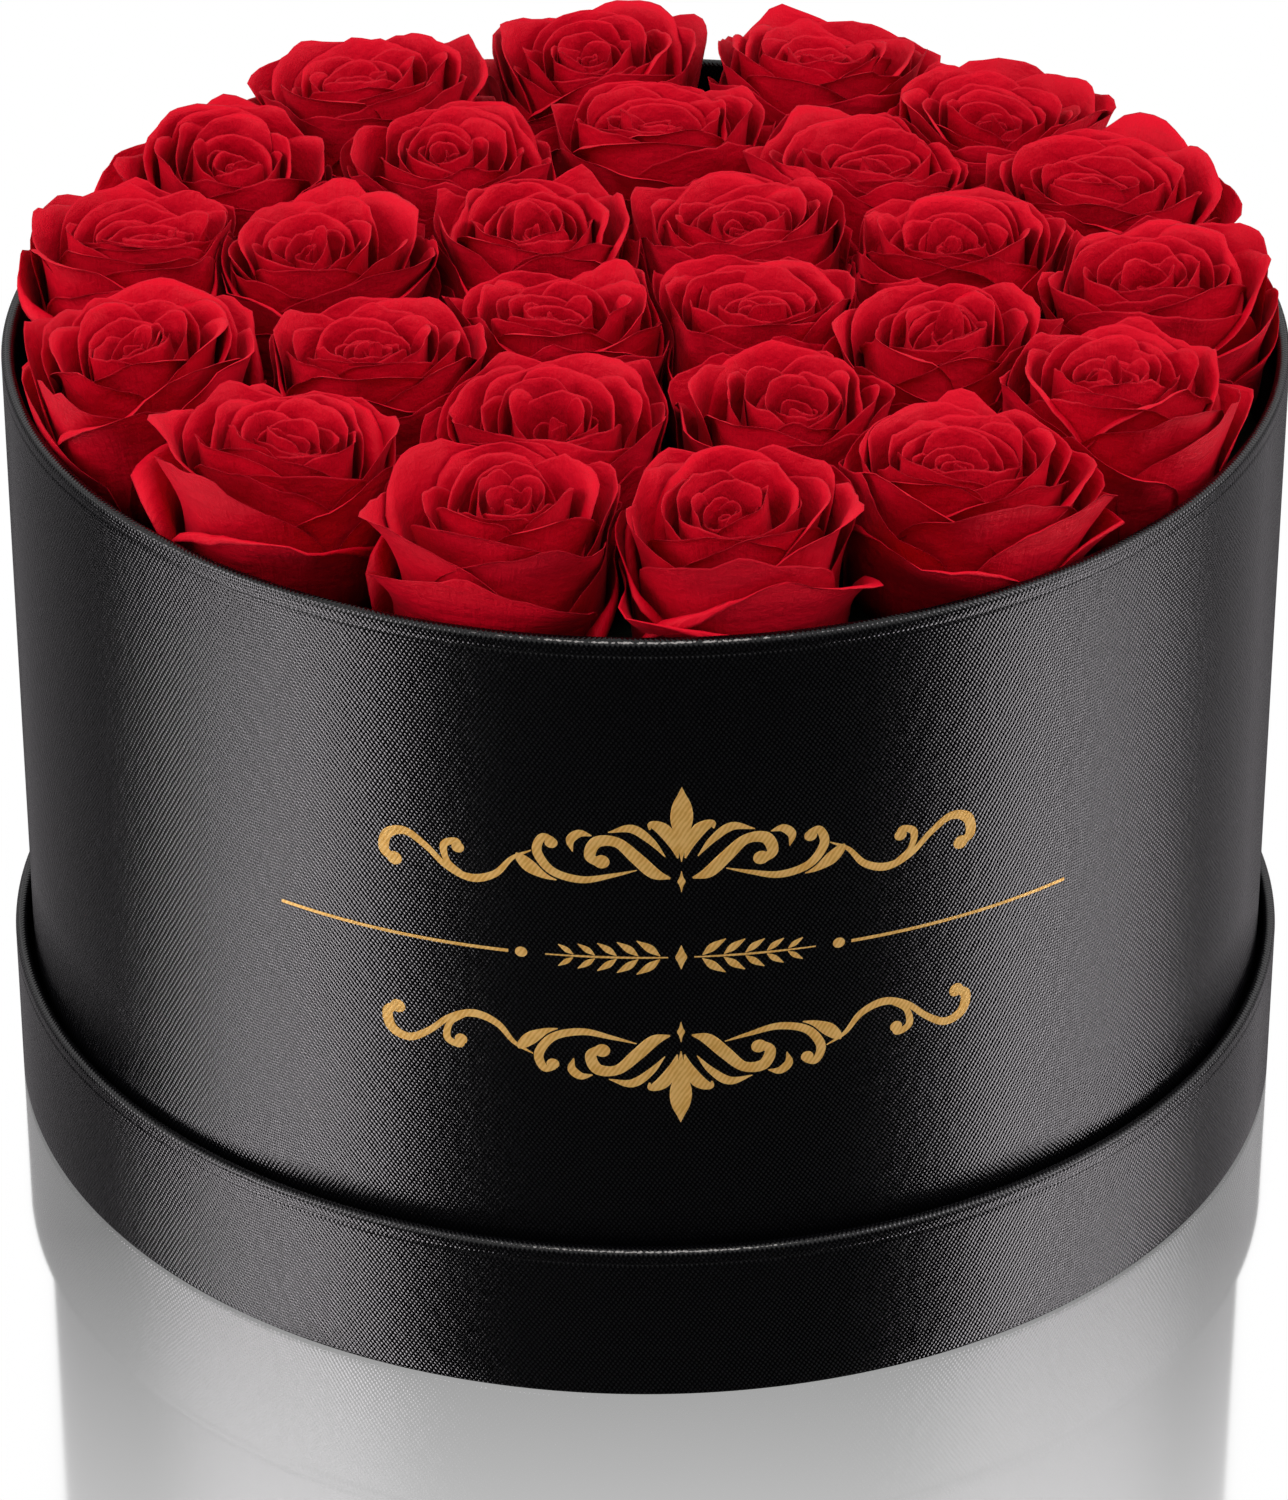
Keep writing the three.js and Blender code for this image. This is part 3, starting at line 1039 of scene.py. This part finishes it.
@dataclass
class Riser:
    """The corrugated board ring and disc that hold the foam up inside the box.

    The board is two flat liners with a waved sheet between them: r or z = middle + a sin(k t).
    """

    flute: float = 6.2 * MM  # from crest to crest
    liner: float = 0.35 * MM
    board: float = 3 * MM
    steps_in_flute: int = 8
    segments: int = 192

    def ring(self) -> None:
        """Builds the ring: an outer and an inner liner, and upright flutes between them."""
        low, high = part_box("riser_ring")
        middle = high.x - self.board / 2
        flutes = int(round(TAU * middle / self.flute))
        bearings = even_bearings(flutes * self.steps_in_flute)
        depth = self.board / 2 - self.liner * 1.5
        sheets = [
            (high.x - self.liner, high.x, 0.0),
            (high.x - self.board, high.x - self.board + self.liner, 0.0),
            (middle - self.liner / 2, middle + self.liner / 2, depth),
        ]
        pieces = []
        for k, (inner, outer, wave) in enumerate(sheets):
            outline = np.array([[inner, low.z], [outer, low.z], [outer, high.z], [inner, high.z]])
            outline = refined(np.concatenate([outline, outline[:1]]), 20 * MM)[:-1]
            shift = wave * np.sin(flutes * bearings)[:, None] + np.zeros((1, len(outline)))
            pieces.append(turned(f"riser_ring_sheet_{k}", outline, bearings, KRAFT_BOARD, shift))
        piece = joined(pieces, "riser_ring_board")
        stand_in(piece, "riser_ring", Body.BOX)

    def deck(self) -> None:
        """Builds the disc: two round liners, and flutes along Y that end at the disc's edge."""
        low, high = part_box("riser_deck")
        radius = high.x
        pieces = []
        for k, (under, over) in enumerate(((low.z, low.z + self.liner), (high.z - self.liner, high.z))):
            outline = refined(np.array([[0, under], [radius, under], [radius, over], [0, over]]), 12 * MM)
            bearings = even_bearings(self.segments)
            pieces.append(turned(f"riser_deck_sheet_{k}", outline, bearings, KRAFT_BOARD))
        flutes = int(2 * radius / self.flute)
        x = np.linspace(-radius * 0.995, radius * 0.995, flutes * self.steps_in_flute + 1)[:, None]
        y = np.sqrt(radius**2 - x**2) * np.linspace(-1, 1, 9)[None, :]
        depth = (high.z - low.z) / 2 - self.liner * 1.5
        middle = (low.z + high.z) / 2 + depth * np.sin(TAU * x / self.flute) + 0 * y
        x = np.broadcast_to(x, y.shape)
        upper = np.stack([x, y, middle + self.liner / 2], -1)
        lower = np.stack([x, y, middle - self.liner / 2], -1)
        loop = np.concatenate([upper, lower[:, ::-1]], 1)
        rows, columns, _ = loop.shape
        walls = grid_quads(rows, columns, wrap_columns=True)
        half = columns // 2
        first = np.arange(half - 1)
        start = np.stack([first, first + 1, columns - 2 - first, columns - 1 - first], -1)
        end = start[:, ::-1] + (rows - 1) * columns
        flat = loop[..., :2].reshape(-1, 2) / MM
        faces = [np.concatenate([walls, start, end])]
        sheet = make_piece("riser_deck_sheet_2", loop, faces, KRAFT_BOARD, flat)
        outward(sheet)
        pieces.append(sheet)
        piece = joined(pieces, "riser_deck_board")
        stand_in(piece, "riser_deck", Body.BOX)

    def build(self) -> None:
        """Builds the ring and the disc."""
        self.ring()
        self.deck()


# ---- Roses --------------------------------------------------------------------------------


@dataclass
class Rose:
    """A preserved rose: petals on nested cups round its axis, tucked one under the other.

    Petal i stands at bearing i times the golden angle. A point of it at u from -1 to 1 across lies
    on the cup of layer (i + tuck u) / (count - 1), so one side of each petal goes under its neighbour and
    the other side over it. A cup rises as a quarter ellipse from the hip to its waist, and leans
    from there inwards near the bud and outwards near the rim.
    """

    node: str
    seed: int
    centre: np.ndarray  # x, y of the axis and z of the hip's foot
    height: float
    neighbours: list[tuple[np.ndarray, int]]  # x, y of the roses that press on it, and 1 or -1
    wall: float  # the radius inside which petals stay
    count: int = 31
    crowding: float = 0.72  # below 1, the inner petals stand further apart than the outer ones
    openness: float = 0.0  # how much more the petals lean outwards, as a share of their reach
    columns: int = 25
    rows: int = 17
    free_radius: float = 28.5 * MM
    gap: float = 0.5 * MM
    thickness: float = 0.28 * MM
    # How far the petals lean outwards, how high their lips are, and how far they reach round the
    # axis in degrees, each for a few layers from the bud to the outside.
    leans: Curve = ((0, 0.1, 0.3, 0.6, 0.8, 1.0), (-0.5, -0.24, -0.08, 0.08, 0.2, 0.5))
    crowns: Curve = (
        (0, 0.1, 0.3, 0.5, 0.7, 0.84, 0.92, 1.0, 1.1),
        (0.89, 0.91, 0.97, 1.0, 0.98, 0.93, 0.84, 0.7, 0.66),
    )
    halves: Curve = ((0, 0.12, 0.35, 1), (165, 125, 88, 64))

    def meridian(
        self, layer: np.ndarray, rise: np.ndarray, top: np.ndarray, open_by: np.ndarray
    ) -> tuple[np.ndarray, np.ndarray]:
        """The cup of a layer, cut by a plane through the axis.

        Up to the waist, at a share w of the way, r = r0 + (r1 - r0) sin(pi s / 2w) and z rises by
        1 - cos of the same angle. Above it z is even in s, and r adds the lean times x^2 and the
        flare times x^6, x being the share of the way from the waist to the lip.

        Args:
            layer: 0 at the axis, 1 at the outermost petals.
            rise: how far up the cup, from 0 at the hip to 1.
            top: the height of the cup's lip.
            open_by: what the petal adds to the layer's own lean.

        Returns:
            Radius and height over the hip.
        """
        waist = 0.42
        reach = blend(1.3 * MM, 0.83 * self.free_radius, np.clip(layer, 0, 1.1) ** self.crowding)
        foot = np.minimum(3.5 * MM, 0.7 * reach)
        foot_height = 4 * MM
        waist_height = blend(17 * MM, 14.5 * MM, layer)
        quarter = np.clip(rise / waist, 0, 1) * np.pi / 2
        above = np.clip((rise - waist) / (1 - waist), 0, None)
        radius = foot + (reach - foot) * np.sin(quarter)
        lean = np.interp(layer, *self.leans) + open_by
        flare = blend(0.3, 1.6, np.clip(layer, 0, 1)) * MM
        radius = radius + lean * reach * above**2 + flare * above**6
        height = foot_height + waist_height * (1 - np.cos(quarter))
        height = height + (top - foot_height - waist_height) * above
        return radius, height

    def petal_surface(self, rng: np.random.Generator) -> tuple[np.ndarray, dict[str, np.ndarray]]:
        """All the petals' middle surfaces, as an array of petals by columns by rows of points.

        Args:
            rng: source of each petal's own size, place and ruffles.

        Returns:
            The points, and for each point its rise, its closeness to the margin and its tone.
        """
        n = self.count
        one = (n, 1, 1)
        index = np.arange(n)[:, None, None]
        age = index / (n - 1)
        u = np.linspace(-1, 1, self.columns)[None, :, None]
        v = (1 - (1 - np.linspace(0, 1, self.rows)) ** 1.5)[None, None, :]
        bearing = rng.uniform(0, TAU) + index * GOLDEN_ANGLE + rng.normal(0, 0.15, one)
        half = np.radians(np.interp(age, *self.halves)) * rng.uniform(0.88, 1.12, one)
        tuck = blend(0.9, 0.42, np.clip(age * 3, 0, 1))
        layer = np.clip((index + tuck * u + rng.normal(0, 0.12, one)) / (n - 1), 0.0, None)
        angle = bearing + half * u
        top = self.height * np.interp(layer, *self.crowns) * (1 + rng.normal(0, 0.022, one))
        # The outline rounds the upper corners and leaves a point in the middle.
        square = rng.uniform(2.2, 3.4, one) + blend(2.4, 0.0, smoothstep(age * 2))
        side_height = blend(0.62, 0.36, smoothstep(age * 1.8))
        outline = side_height + (1 - side_height) * (1 - np.abs(u) ** square) ** 0.55
        point = blend(0.0, 0.08, age) * rng.uniform(0, 1.6, one) * np.exp(-((u / 0.13) ** 2))
        skew = rng.normal(0, 0.09, one) * u
        ragged = 0.02 * waves(rng, one, u * np.pi, (3.3, 5.1, 8.7, 13.9))
        reach = outline * (1 + point + skew + ragged * blend(0.5, 1.5, age))
        rise = v * reach
        length = 0.034 + 0.012 * age
        # Near its margin the petal rolls outwards along an arc; the middle rolls less than the sides.
        roll_length = blend(0.5, 4.4, age**1.4) * MM * rng.uniform(0.2, 1.5, one)
        side_roll = 1 + 0.8 * rng.uniform(-1, 1, one) * u
        roll_length = roll_length * blend(0.35, 1.0, smoothstep(np.abs(u) / 0.6)) * side_roll
        roll_radius = blend(1.3, 2.6, age) * MM * rng.uniform(0.85, 1.35, one)
        starts = np.maximum(reach - roll_length / length, 0.3 * reach)
        straight = np.minimum(rise, starts)
        open_by = self.openness + rng.normal(0, 0.05, one)
        radius, height = self.meridian(layer, straight, top, open_by)
        step = 0.01
        before_r, before_z = self.meridian(layer, starts - step, top, open_by)
        at_r, at_z = self.meridian(layer, starts, top, open_by)
        along = np.stack([at_r - before_r, at_z - before_z])
        along = along / np.linalg.norm(along, axis=0)
        turn = np.clip(rise - starts, 0, None) * length / roll_radius
        out, up = np.sin(turn) * roll_radius, (1 - np.cos(turn)) * roll_radius
        radius = radius + out * along[0] + up * along[1]
        height = height + out * along[1] - up * along[0]
        # Ruffles: slow waves across the petal that grow towards its margin.
        free = v**2.5
        ruffle = waves(rng, one, u * np.pi, (0.9, 1.7, 3.3)) * blend(0.5, 2.5, age) * MM
        flutter = waves(rng, one, u * np.pi + v * 2, (6.3, 9.7)) * blend(0.06, 0.6, age) * MM
        radius = radius + ruffle * free + flutter * v**6
        height = height + 0.8 * flutter * v**5
        rib = np.exp(-((u / 0.1) ** 2)) * v**3 * blend(0.0, 0.5, age) * MM
        radius = radius - rib
        points = round_z(radius, angle, height)
        margin = np.maximum(v, np.broadcast_to(np.abs(u) ** 4, (1, self.columns, 1)))
        values = {
            "rise": np.broadcast_to(rise, radius.shape),
            "edge": np.broadcast_to(margin, radius.shape),
            "tone": np.broadcast_to(rng.uniform(0, 1, one), radius.shape),
        }
        return points, values

    def deform(self, points: np.ndarray, rng: np.random.Generator) -> np.ndarray:
        """Gives the head its own character: an oval, off-centre bud and a slight tilt.

        The bud's oval and shift fade away outwards as exp(-(r / q)^2); the tilt turns the head
        about its hip.

        Args:
            points: points of the petals, with the hip at the origin.
            rng: source of the oval, the shift and the tilt.

        Returns:
            The points in their new places.
        """
        x, y, z = points[..., 0], points[..., 1], points[..., 2]
        radius = np.hypot(x, y)
        fade = np.exp(-((radius / (0.6 * self.free_radius)) ** 2))
        turn, oval = rng.uniform(0, TAU), rng.uniform(0.1, 0.3)
        along, across = swung(x, y, -turn)
        x, y = swung(along * (1 + oval * fade), across * (1 - oval * fade), turn)
        aside, way = rng.uniform(0.3, 2.6) * MM, rng.uniform(0, TAU)
        lift = smoothstep(z / self.height)
        x = x + aside * np.cos(way) * fade * lift
        y = y + aside * np.sin(way) * fade * lift
        lean = rng.normal(0, np.radians(3.0), 2)
        x, z = swung(x, z, -lean[0])
        y, z = swung(y, z, -lean[1])
        return np.stack([x, y, z], -1)

    def pressed(self, points: np.ndarray) -> np.ndarray:
        """Presses the head into its place between its neighbours and the wall.

        In each direction the free distance L is the least of the distance to the wall and, for each
        neighbour, the distance to the surface between the two: half way, give or take a slow wave
        that pushes one head over the other. A point at r moves to L f(r / L), where f(x) = x up to
        a, and a + (1 - a)(1 - exp(-(x - a) / (1 - a))) past it.

        Args:
            points: points of the petals, with the hip at the origin.

        Returns:
            The points in their new places.
        """
        x, y, z = points[..., 0], points[..., 1], points[..., 2]
        radius, angle = np.hypot(x, y), np.arctan2(y, x)
        centre = self.centre[:2]
        reach = np.hypot(*centre)
        facing = np.cos(angle - np.arctan2(centre[1], centre[0]))
        limit = -reach * facing + np.sqrt(self.wall**2 - reach**2 * (1 - facing**2))
        for other, side in self.neighbours:
            apart = np.hypot(*(other - centre))
            middle = (other + centre) / 2
            towards = np.arctan2(*(other - centre)[::-1])
            cosine = np.cos(angle - towards)
            aside = side * radius * np.sin(angle - towards)
            phase = 900 * (middle[0] + 1.7 * middle[1])
            wave = np.sin(aside / (7 * MM) + z / (6 * MM) + phase) + 0.9 * np.sin(phase * 2.3)
            share = apart / 2 - self.gap / 2 + side * 1.5 * MM * wave * smoothstep(z / self.height * 2 - 0.6)
            limit = np.where(cosine > 0.05, np.minimum(limit, share / np.maximum(cosine, 0.05)), limit)
        knee = 0.78
        ratio = radius / limit
        soft = knee + (1 - knee) * (1 - np.exp(-(ratio - knee) / (1 - knee)))
        scale = np.where(ratio > knee, soft / np.maximum(ratio, TINY), 1.0)
        return np.stack([x * scale, y * scale, z], -1)

    def shells(self, middle: np.ndarray) -> tuple[np.ndarray, np.ndarray]:
        """Gives each petal its thickness: middle +- normal t / 2, thinner towards its margin.

        Args:
            middle: petals by columns by rows of points.

        Returns:
            The points of both sides, and the quads of the sides and of the strips that close them.
        """
        n, columns, rows, _ = middle.shape
        across = np.gradient(middle, axis=1)
        upward = np.gradient(middle, axis=2)
        normal = unit(np.cross(across, upward))
        v = np.linspace(0, 1, rows)[None, None, :, None]
        u = np.linspace(-1, 1, columns)[None, :, None, None]
        thin = np.minimum(smoothstep((1 - v) / 0.25), smoothstep((1 - np.abs(u)) / 0.2))
        offset = normal * self.thickness / 2 * (0.35 + 0.65 * thin)
        points = np.stack([middle + offset, middle - offset], 1).reshape(-1, 3)
        per_side = columns * rows
        front = grid_quads(columns, rows)
        back = front[:, ::-1] + per_side
        rim = np.concatenate(
            [
                np.arange(columns) * rows,
                (columns - 1) * rows + np.arange(1, rows),
                np.arange(columns - 2, -1, -1) * rows + rows - 1,
                np.arange(rows - 2, 0, -1),
            ]
        )
        following = np.roll(rim, -1)
        strip = np.stack([rim, rim + per_side, following + per_side, following], -1)
        single = np.concatenate([front, back, strip])
        quads = (single[None] + (np.arange(n) * 2 * per_side)[:, None, None]).reshape(-1, 4)
        return points, quads

    def head(self) -> None:
        """Builds the head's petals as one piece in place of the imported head."""
        rng = np.random.default_rng(self.seed)
        middle, values = self.petal_surface(rng)
        middle = self.pressed(self.deform(middle, rng))
        middle = middle + self.centre
        # A petal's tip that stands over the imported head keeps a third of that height.
        over = np.clip(middle[..., 2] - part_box(self.node)[1].z, 0, None)
        middle[..., 2] -= over * 2 / 3
        points, quads = self.shells(middle)
        both = {k: np.stack([v, v], 1).reshape(-1) for k, v in values.items()}
        size = 40.0  # the petals' patterns are drawn as if each were 40 mm wide and 40 mm long
        other_side = 7.3  # mm, how far off the pattern of a petal's other side is
        across = np.linspace(0, size, self.columns)[None, :, None] + 0 * values["rise"]
        start = (np.arange(self.count) * 1.7 * size)[:, None, None]
        uv = np.stack([across + start, values["rise"] * size], -1)
        uv = np.stack([uv, uv + other_side], 1).reshape(-1, 2)
        piece = make_piece(f"{self.node}_head", points, [quads], PETAL, uv, both)
        stand_in(piece, self.node, Body.INSERT)

    def calyx(self, stem_foot: float) -> None:
        """Builds the hip, its five sepals and the short stem.

        The hip and stem are an outline carried round the axis. A sepal follows an arc that leaves
        the hip level and turns up along the cup, and is w sin(pi s)^0.7 wide.

        Args:
            stem_foot: height of the stem's lower end.
        """
        stem, hip, foot = 2.3 * MM, 6.6 * MM, self.centre[2]
        stalk = [(0, stem_foot), (stem, stem_foot), (stem, foot - 2.5 * MM)]
        bulb = [(hip, foot + 1.2 * MM), (hip * 0.8, foot + 4.6 * MM), (0, foot + 5.0 * MM)]
        profile = rounded_path(stalk + bulb, [0.4 * MM, 1.2 * MM, 1.8 * MM, 1.2 * MM], 4)
        body = turned(f"{self.node}_hip", profile, even_bearings(20), CALYX)
        s = np.linspace(0, 1, 9)[None, None, :]
        u = np.linspace(-1, 1, 5)[None, :, None]
        way = (np.arange(5) * TAU / 5 + self.seed)[:, None, None]
        radius = blend(4.6 * MM, 15 * MM, np.sin(s * np.pi / 2)) + 0 * u
        height = 2.0 * MM + 7 * MM * s**2 + 0.8 * MM * u**2 + 0 * way
        width = 3.6 * MM * np.sin(np.pi * np.clip(s * 0.9 + 0.1, 0, 1)) ** 0.7 + 0.15 * MM
        x, y = swung(radius, width * u, way)
        points, quads = self.shells(np.stack(np.broadcast_arrays(x, y, height), -1))
        x, y = self.centre[:2]
        leaves = make_piece(f"{self.node}_sepals", points + self.centre, [quads], CALYX)
        body.data.transform(Matrix.Translation((x, y, 0)))
        stand_in(joined([body, leaves], f"{self.node}_calyx"), self.node, Body.INSERT)


@dataclass
class Insert:
    """The foam block and the roses that stand in it."""

    wall: float
    reach: float = 60 * MM  # how far off another rose can be and still press on this one
    stem: float = 30 * MM
    give: float = 0.2 * MM  # how far the petals press into the wall
    foam_edge: float = 1.6 * MM
    crumble: float = 0.25 * MM  # how far the foam's edge strays
    worn: float = 0.35 * MM  # what is rubbed off all round
    foam_seed: int = 77
    first_seed: int = 100  # of the roses' petals
    first_habit: int = 500  # seed of the roses' counts and openness

    def stems(self, names: list[str]) -> np.ndarray:
        """Finds the roses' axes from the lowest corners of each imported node, where the stem is.

        Args:
            names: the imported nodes' names.

        Returns:
            x and y of each axis.
        """
        places = []
        for name in names:
            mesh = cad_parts[name].data
            points = np.empty(len(mesh.vertices) * 3, np.float32)
            mesh.vertices.foreach_get("co", points)
            points = points.reshape(-1, 3)
            foot = points[points[:, 2] < points[:, 2].min() + 1e-5]
            places.append((foot.min(0)[:2] + foot.max(0)[:2]) / 2)
        return np.array(places, float)

    def foam(self) -> None:
        """Builds the foam block: a disc whose cut edges have crumbled to a small uneven round.

        Its outline is a path with arcs at the edges, and r and z stray by the sum of a few waves.
        """
        low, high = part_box("foam_block")
        outline = disc_outline(low, high, self.foam_edge, 4, 5 * MM)
        bearings = even_bearings(240)
        rng = np.random.default_rng(self.foam_seed)
        stray = self.crumble * waves(rng, (1, len(outline)), bearings[:, None], (7, 12, 23, 41))
        stray = stray * smoothstep(outline[None, :, 0] / high.x * 4 - 3) - self.worn
        piece = turned("foam_block_cut", outline, bearings, FOAM, stray)
        stand_in(piece, "foam_block", Body.INSERT)

    def build(self) -> None:
        """Builds the foam and every rose."""
        self.foam()
        names = sorted(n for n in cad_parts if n.startswith("rose_"))
        places = self.stems(names)
        for k, (name, place) in enumerate(zip(names, places)):
            low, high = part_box(name)
            hip = low.z + self.stem
            near = np.flatnonzero(np.hypot(*(places - place).T) < self.reach)
            own = np.random.default_rng(self.first_habit + k)
            rose = Rose(
                name,
                seed=self.first_seed + k,
                centre=np.array([place[0], place[1], hip]),
                height=high.z - hip,
                neighbours=[(places[j], 1 if j > k else -1) for j in near if j != k],
                wall=self.wall + self.give,
                count=int(own.integers(26, 34)),
                crowding=own.uniform(0.62, 0.86),
                openness=own.uniform(-0.05, 0.09),
            )
            rose.head()
            rose.calyx(low.z)


# ---- Studio -------------------------------------------------------------------------------


@dataclass
class Studio:
    """The floor, the lights and the camera, none of which is part of the object."""

    elevation: float = np.radians(30.17)
    distance: float = 1372.1 * MM
    lens: float = 151.6
    aim_height: float = 88.2 * MM
    shift: tuple[float, float] = (-0.001, -0.0427)
    walls: float = 0.68  # brightness of the studio's walls and ceiling
    floor_half: float = 12.0
    tint: str = "#fff9fe"  # colour of the lights, a little towards magenta
    beside: float = 0.2  # the floor's own white beside the object
    unseen: float = 0.22  # what the mirror leaves out for every ray but the camera's

    def camera(self) -> None:
        """Stands the camera in front of the object, looking along +Y and down."""
        data = bpy.data.cameras.new("camera")
        data.lens = self.lens
        data.sensor_width = 36.0
        data.shift_x, data.shift_y = self.shift
        data.clip_end = 50.0
        camera = new_object("camera", data)
        back = self.distance * np.cos(self.elevation)
        rise = self.distance * np.sin(self.elevation)
        camera.location = (0.0, -back, self.aim_height + rise)
        camera.rotation_euler = (np.pi / 2 - self.elevation, 0.0, 0.0)
        bpy.context.scene.camera = camera

    def softbox(
        self,
        name: str,
        bearing: float,
        elevation: float,
        distance: float,
        size: tuple[float, float],
        power: float,
        glare: bool = True,
    ) -> None:
        """Hangs a rectangular light round the object, facing it.

        Args:
            name: the light's name.
            bearing: degrees from the front, towards +X.
            elevation: degrees above the floor.
            distance: metres from the object's middle.
            size: width and height.
            power: watts.
            glare: whether glossy surfaces show it. A polarised light gives no glare.
        """
        data = bpy.data.lights.new(name, "AREA")
        data.shape = "RECTANGLE"
        data.size, data.size_y = size
        data.energy = power
        data.color = linear(self.tint)[:3]
        light = new_object(name, data)
        a, e = np.radians(bearing), np.radians(elevation)
        way = np.array([np.sin(a) * np.cos(e), -np.cos(a) * np.cos(e), np.sin(e)])
        aim = np.array([0, 0, self.aim_height])
        light.location = aim + way * distance
        light.rotation_euler = (np.pi / 2 - e, 0.0, a)
        light.visible_glossy = glare

    def world(self) -> None:
        """Surrounds the studio with soft white walls, darker where they meet the floor.

        Light that has bounced more than twice finds them dark, which keeps the black paper deep.
        """
        world = bpy.data.worlds.new("studio")
        tree = empty_tree(world)
        toward = add_node(tree, "TexCoord").outputs["Generated"]
        up = add_node(tree, "SeparateXYZ", {"Vector": toward}).outputs["Z"]
        raised = stepped(tree, up, 0.0, 0.38, 0.25, self.walls)
        direct = maths(tree, "LESS_THAN", add_node(tree, "LightPath").outputs["Ray Depth"], 2.5)
        strength = maths(tree, "MULTIPLY", raised, direct)
        shade = add_node(tree, "Background", {"Color": (1, 1, 1, 1), "Strength": strength})
        add_node(tree, "OutputWorld", {"Surface": shade.outputs[0]})
        bpy.context.scene.world = world

    def floor(self) -> None:
        """Lays a polished pale floor: its own white and the mirrored walls add up to white.

        Its mirror is strongest beside the object and fades towards the front and away from the
        object, where its own white takes over. Its own white shows only to the camera, so that it
        doesn't grey the black paper.
        """
        material = bpy.data.materials.new("polished_floor")
        tree = empty_tree(material)
        seen = add_node(tree, "LightPath").outputs["Is Camera Ray"]
        place = add_node(tree, "TexCoord").outputs["Object"]
        along = add_node(tree, "SeparateXYZ", {"Vector": place}).outputs["Y"]
        away = add_node(tree, "VectorMath", {0: place}, operation="LENGTH").outputs["Value"]
        near = self.beside
        front = ranged(tree, along, -0.08, -0.2, near, 0.56)
        white = maths(tree, "MAXIMUM", front, ranged(tree, away, 0.19, 0.4, near, 1.0))
        white = ranged(tree, seen, 0.0, 1.0, self.unseen, white)
        own = maths(tree, "MULTIPLY", white, seen)
        rest = maths(tree, "DIVIDE", maths(tree, "SUBTRACT", 1.0, white), self.walls)
        glow = add_node(tree, "Emission", {"Color": (1, 1, 1, 1), "Strength": own})
        mirror = add_node(tree, "BsdfGlossy", {"Color": rest, "Roughness": 0.06})
        both = add_node(tree, "AddShader", {0: glow.outputs[0], 1: mirror.outputs[0]})
        add_node(tree, "OutputMaterial", {"Surface": both.outputs[0]})
        corners = np.array([[-1, -1, 0], [1, -1, 0], [1, 1, 0], [-1, 1, 0]]) * self.floor_half
        floor = make_piece("floor", corners, [np.array([[0, 1, 2, 3]])], material, smooth=False)

    def build(self) -> None:
        """Sets up everything that isn't part of the object."""
        self.camera()
        self.world()
        self.floor()
        self.softbox("left_softbox", -68, 24, 1.1, (0.26, 1.0), 7.3)
        self.softbox("right_softbox", 79, 24, 1.1, (0.28, 1.0), 6.0)
        self.softbox("left_card", -142, 22, 1.3, (0.8, 1.0), 0.5)
        self.softbox("right_card", 136, 22, 1.3, (0.8, 1.0), 0.8)
        self.softbox("top_softbox", 5, 72, 1.3, (0.9, 0.9), 8.5, glare=False)
        bpy.context.scene.view_settings.view_transform = "Standard"


# ---- The whole ----------------------------------------------------------------------------


def main() -> None:
    """Builds the studio and the object, one sub-assembly at a time."""
    logging.basicConfig(level=logging.INFO, format="%(name)s: %(message)s")
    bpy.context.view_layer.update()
    Studio().build()
    lid = CoveredTub("lid", "panel", Body.LID, seed=5, seam_bearing=np.radians(80))
    box = CoveredTub("box", "floor", Body.BOX, seed=8, seam_bearing=np.radians(96))
    for tub in (lid, box):
        tub.build()
    Ornament(box, middle_height=104.6 * MM, bearing=np.radians(-87.0)).build()
    Riser().build()
    Insert(wall=box.inside).build()


if __name__ == "__main__":
    main()
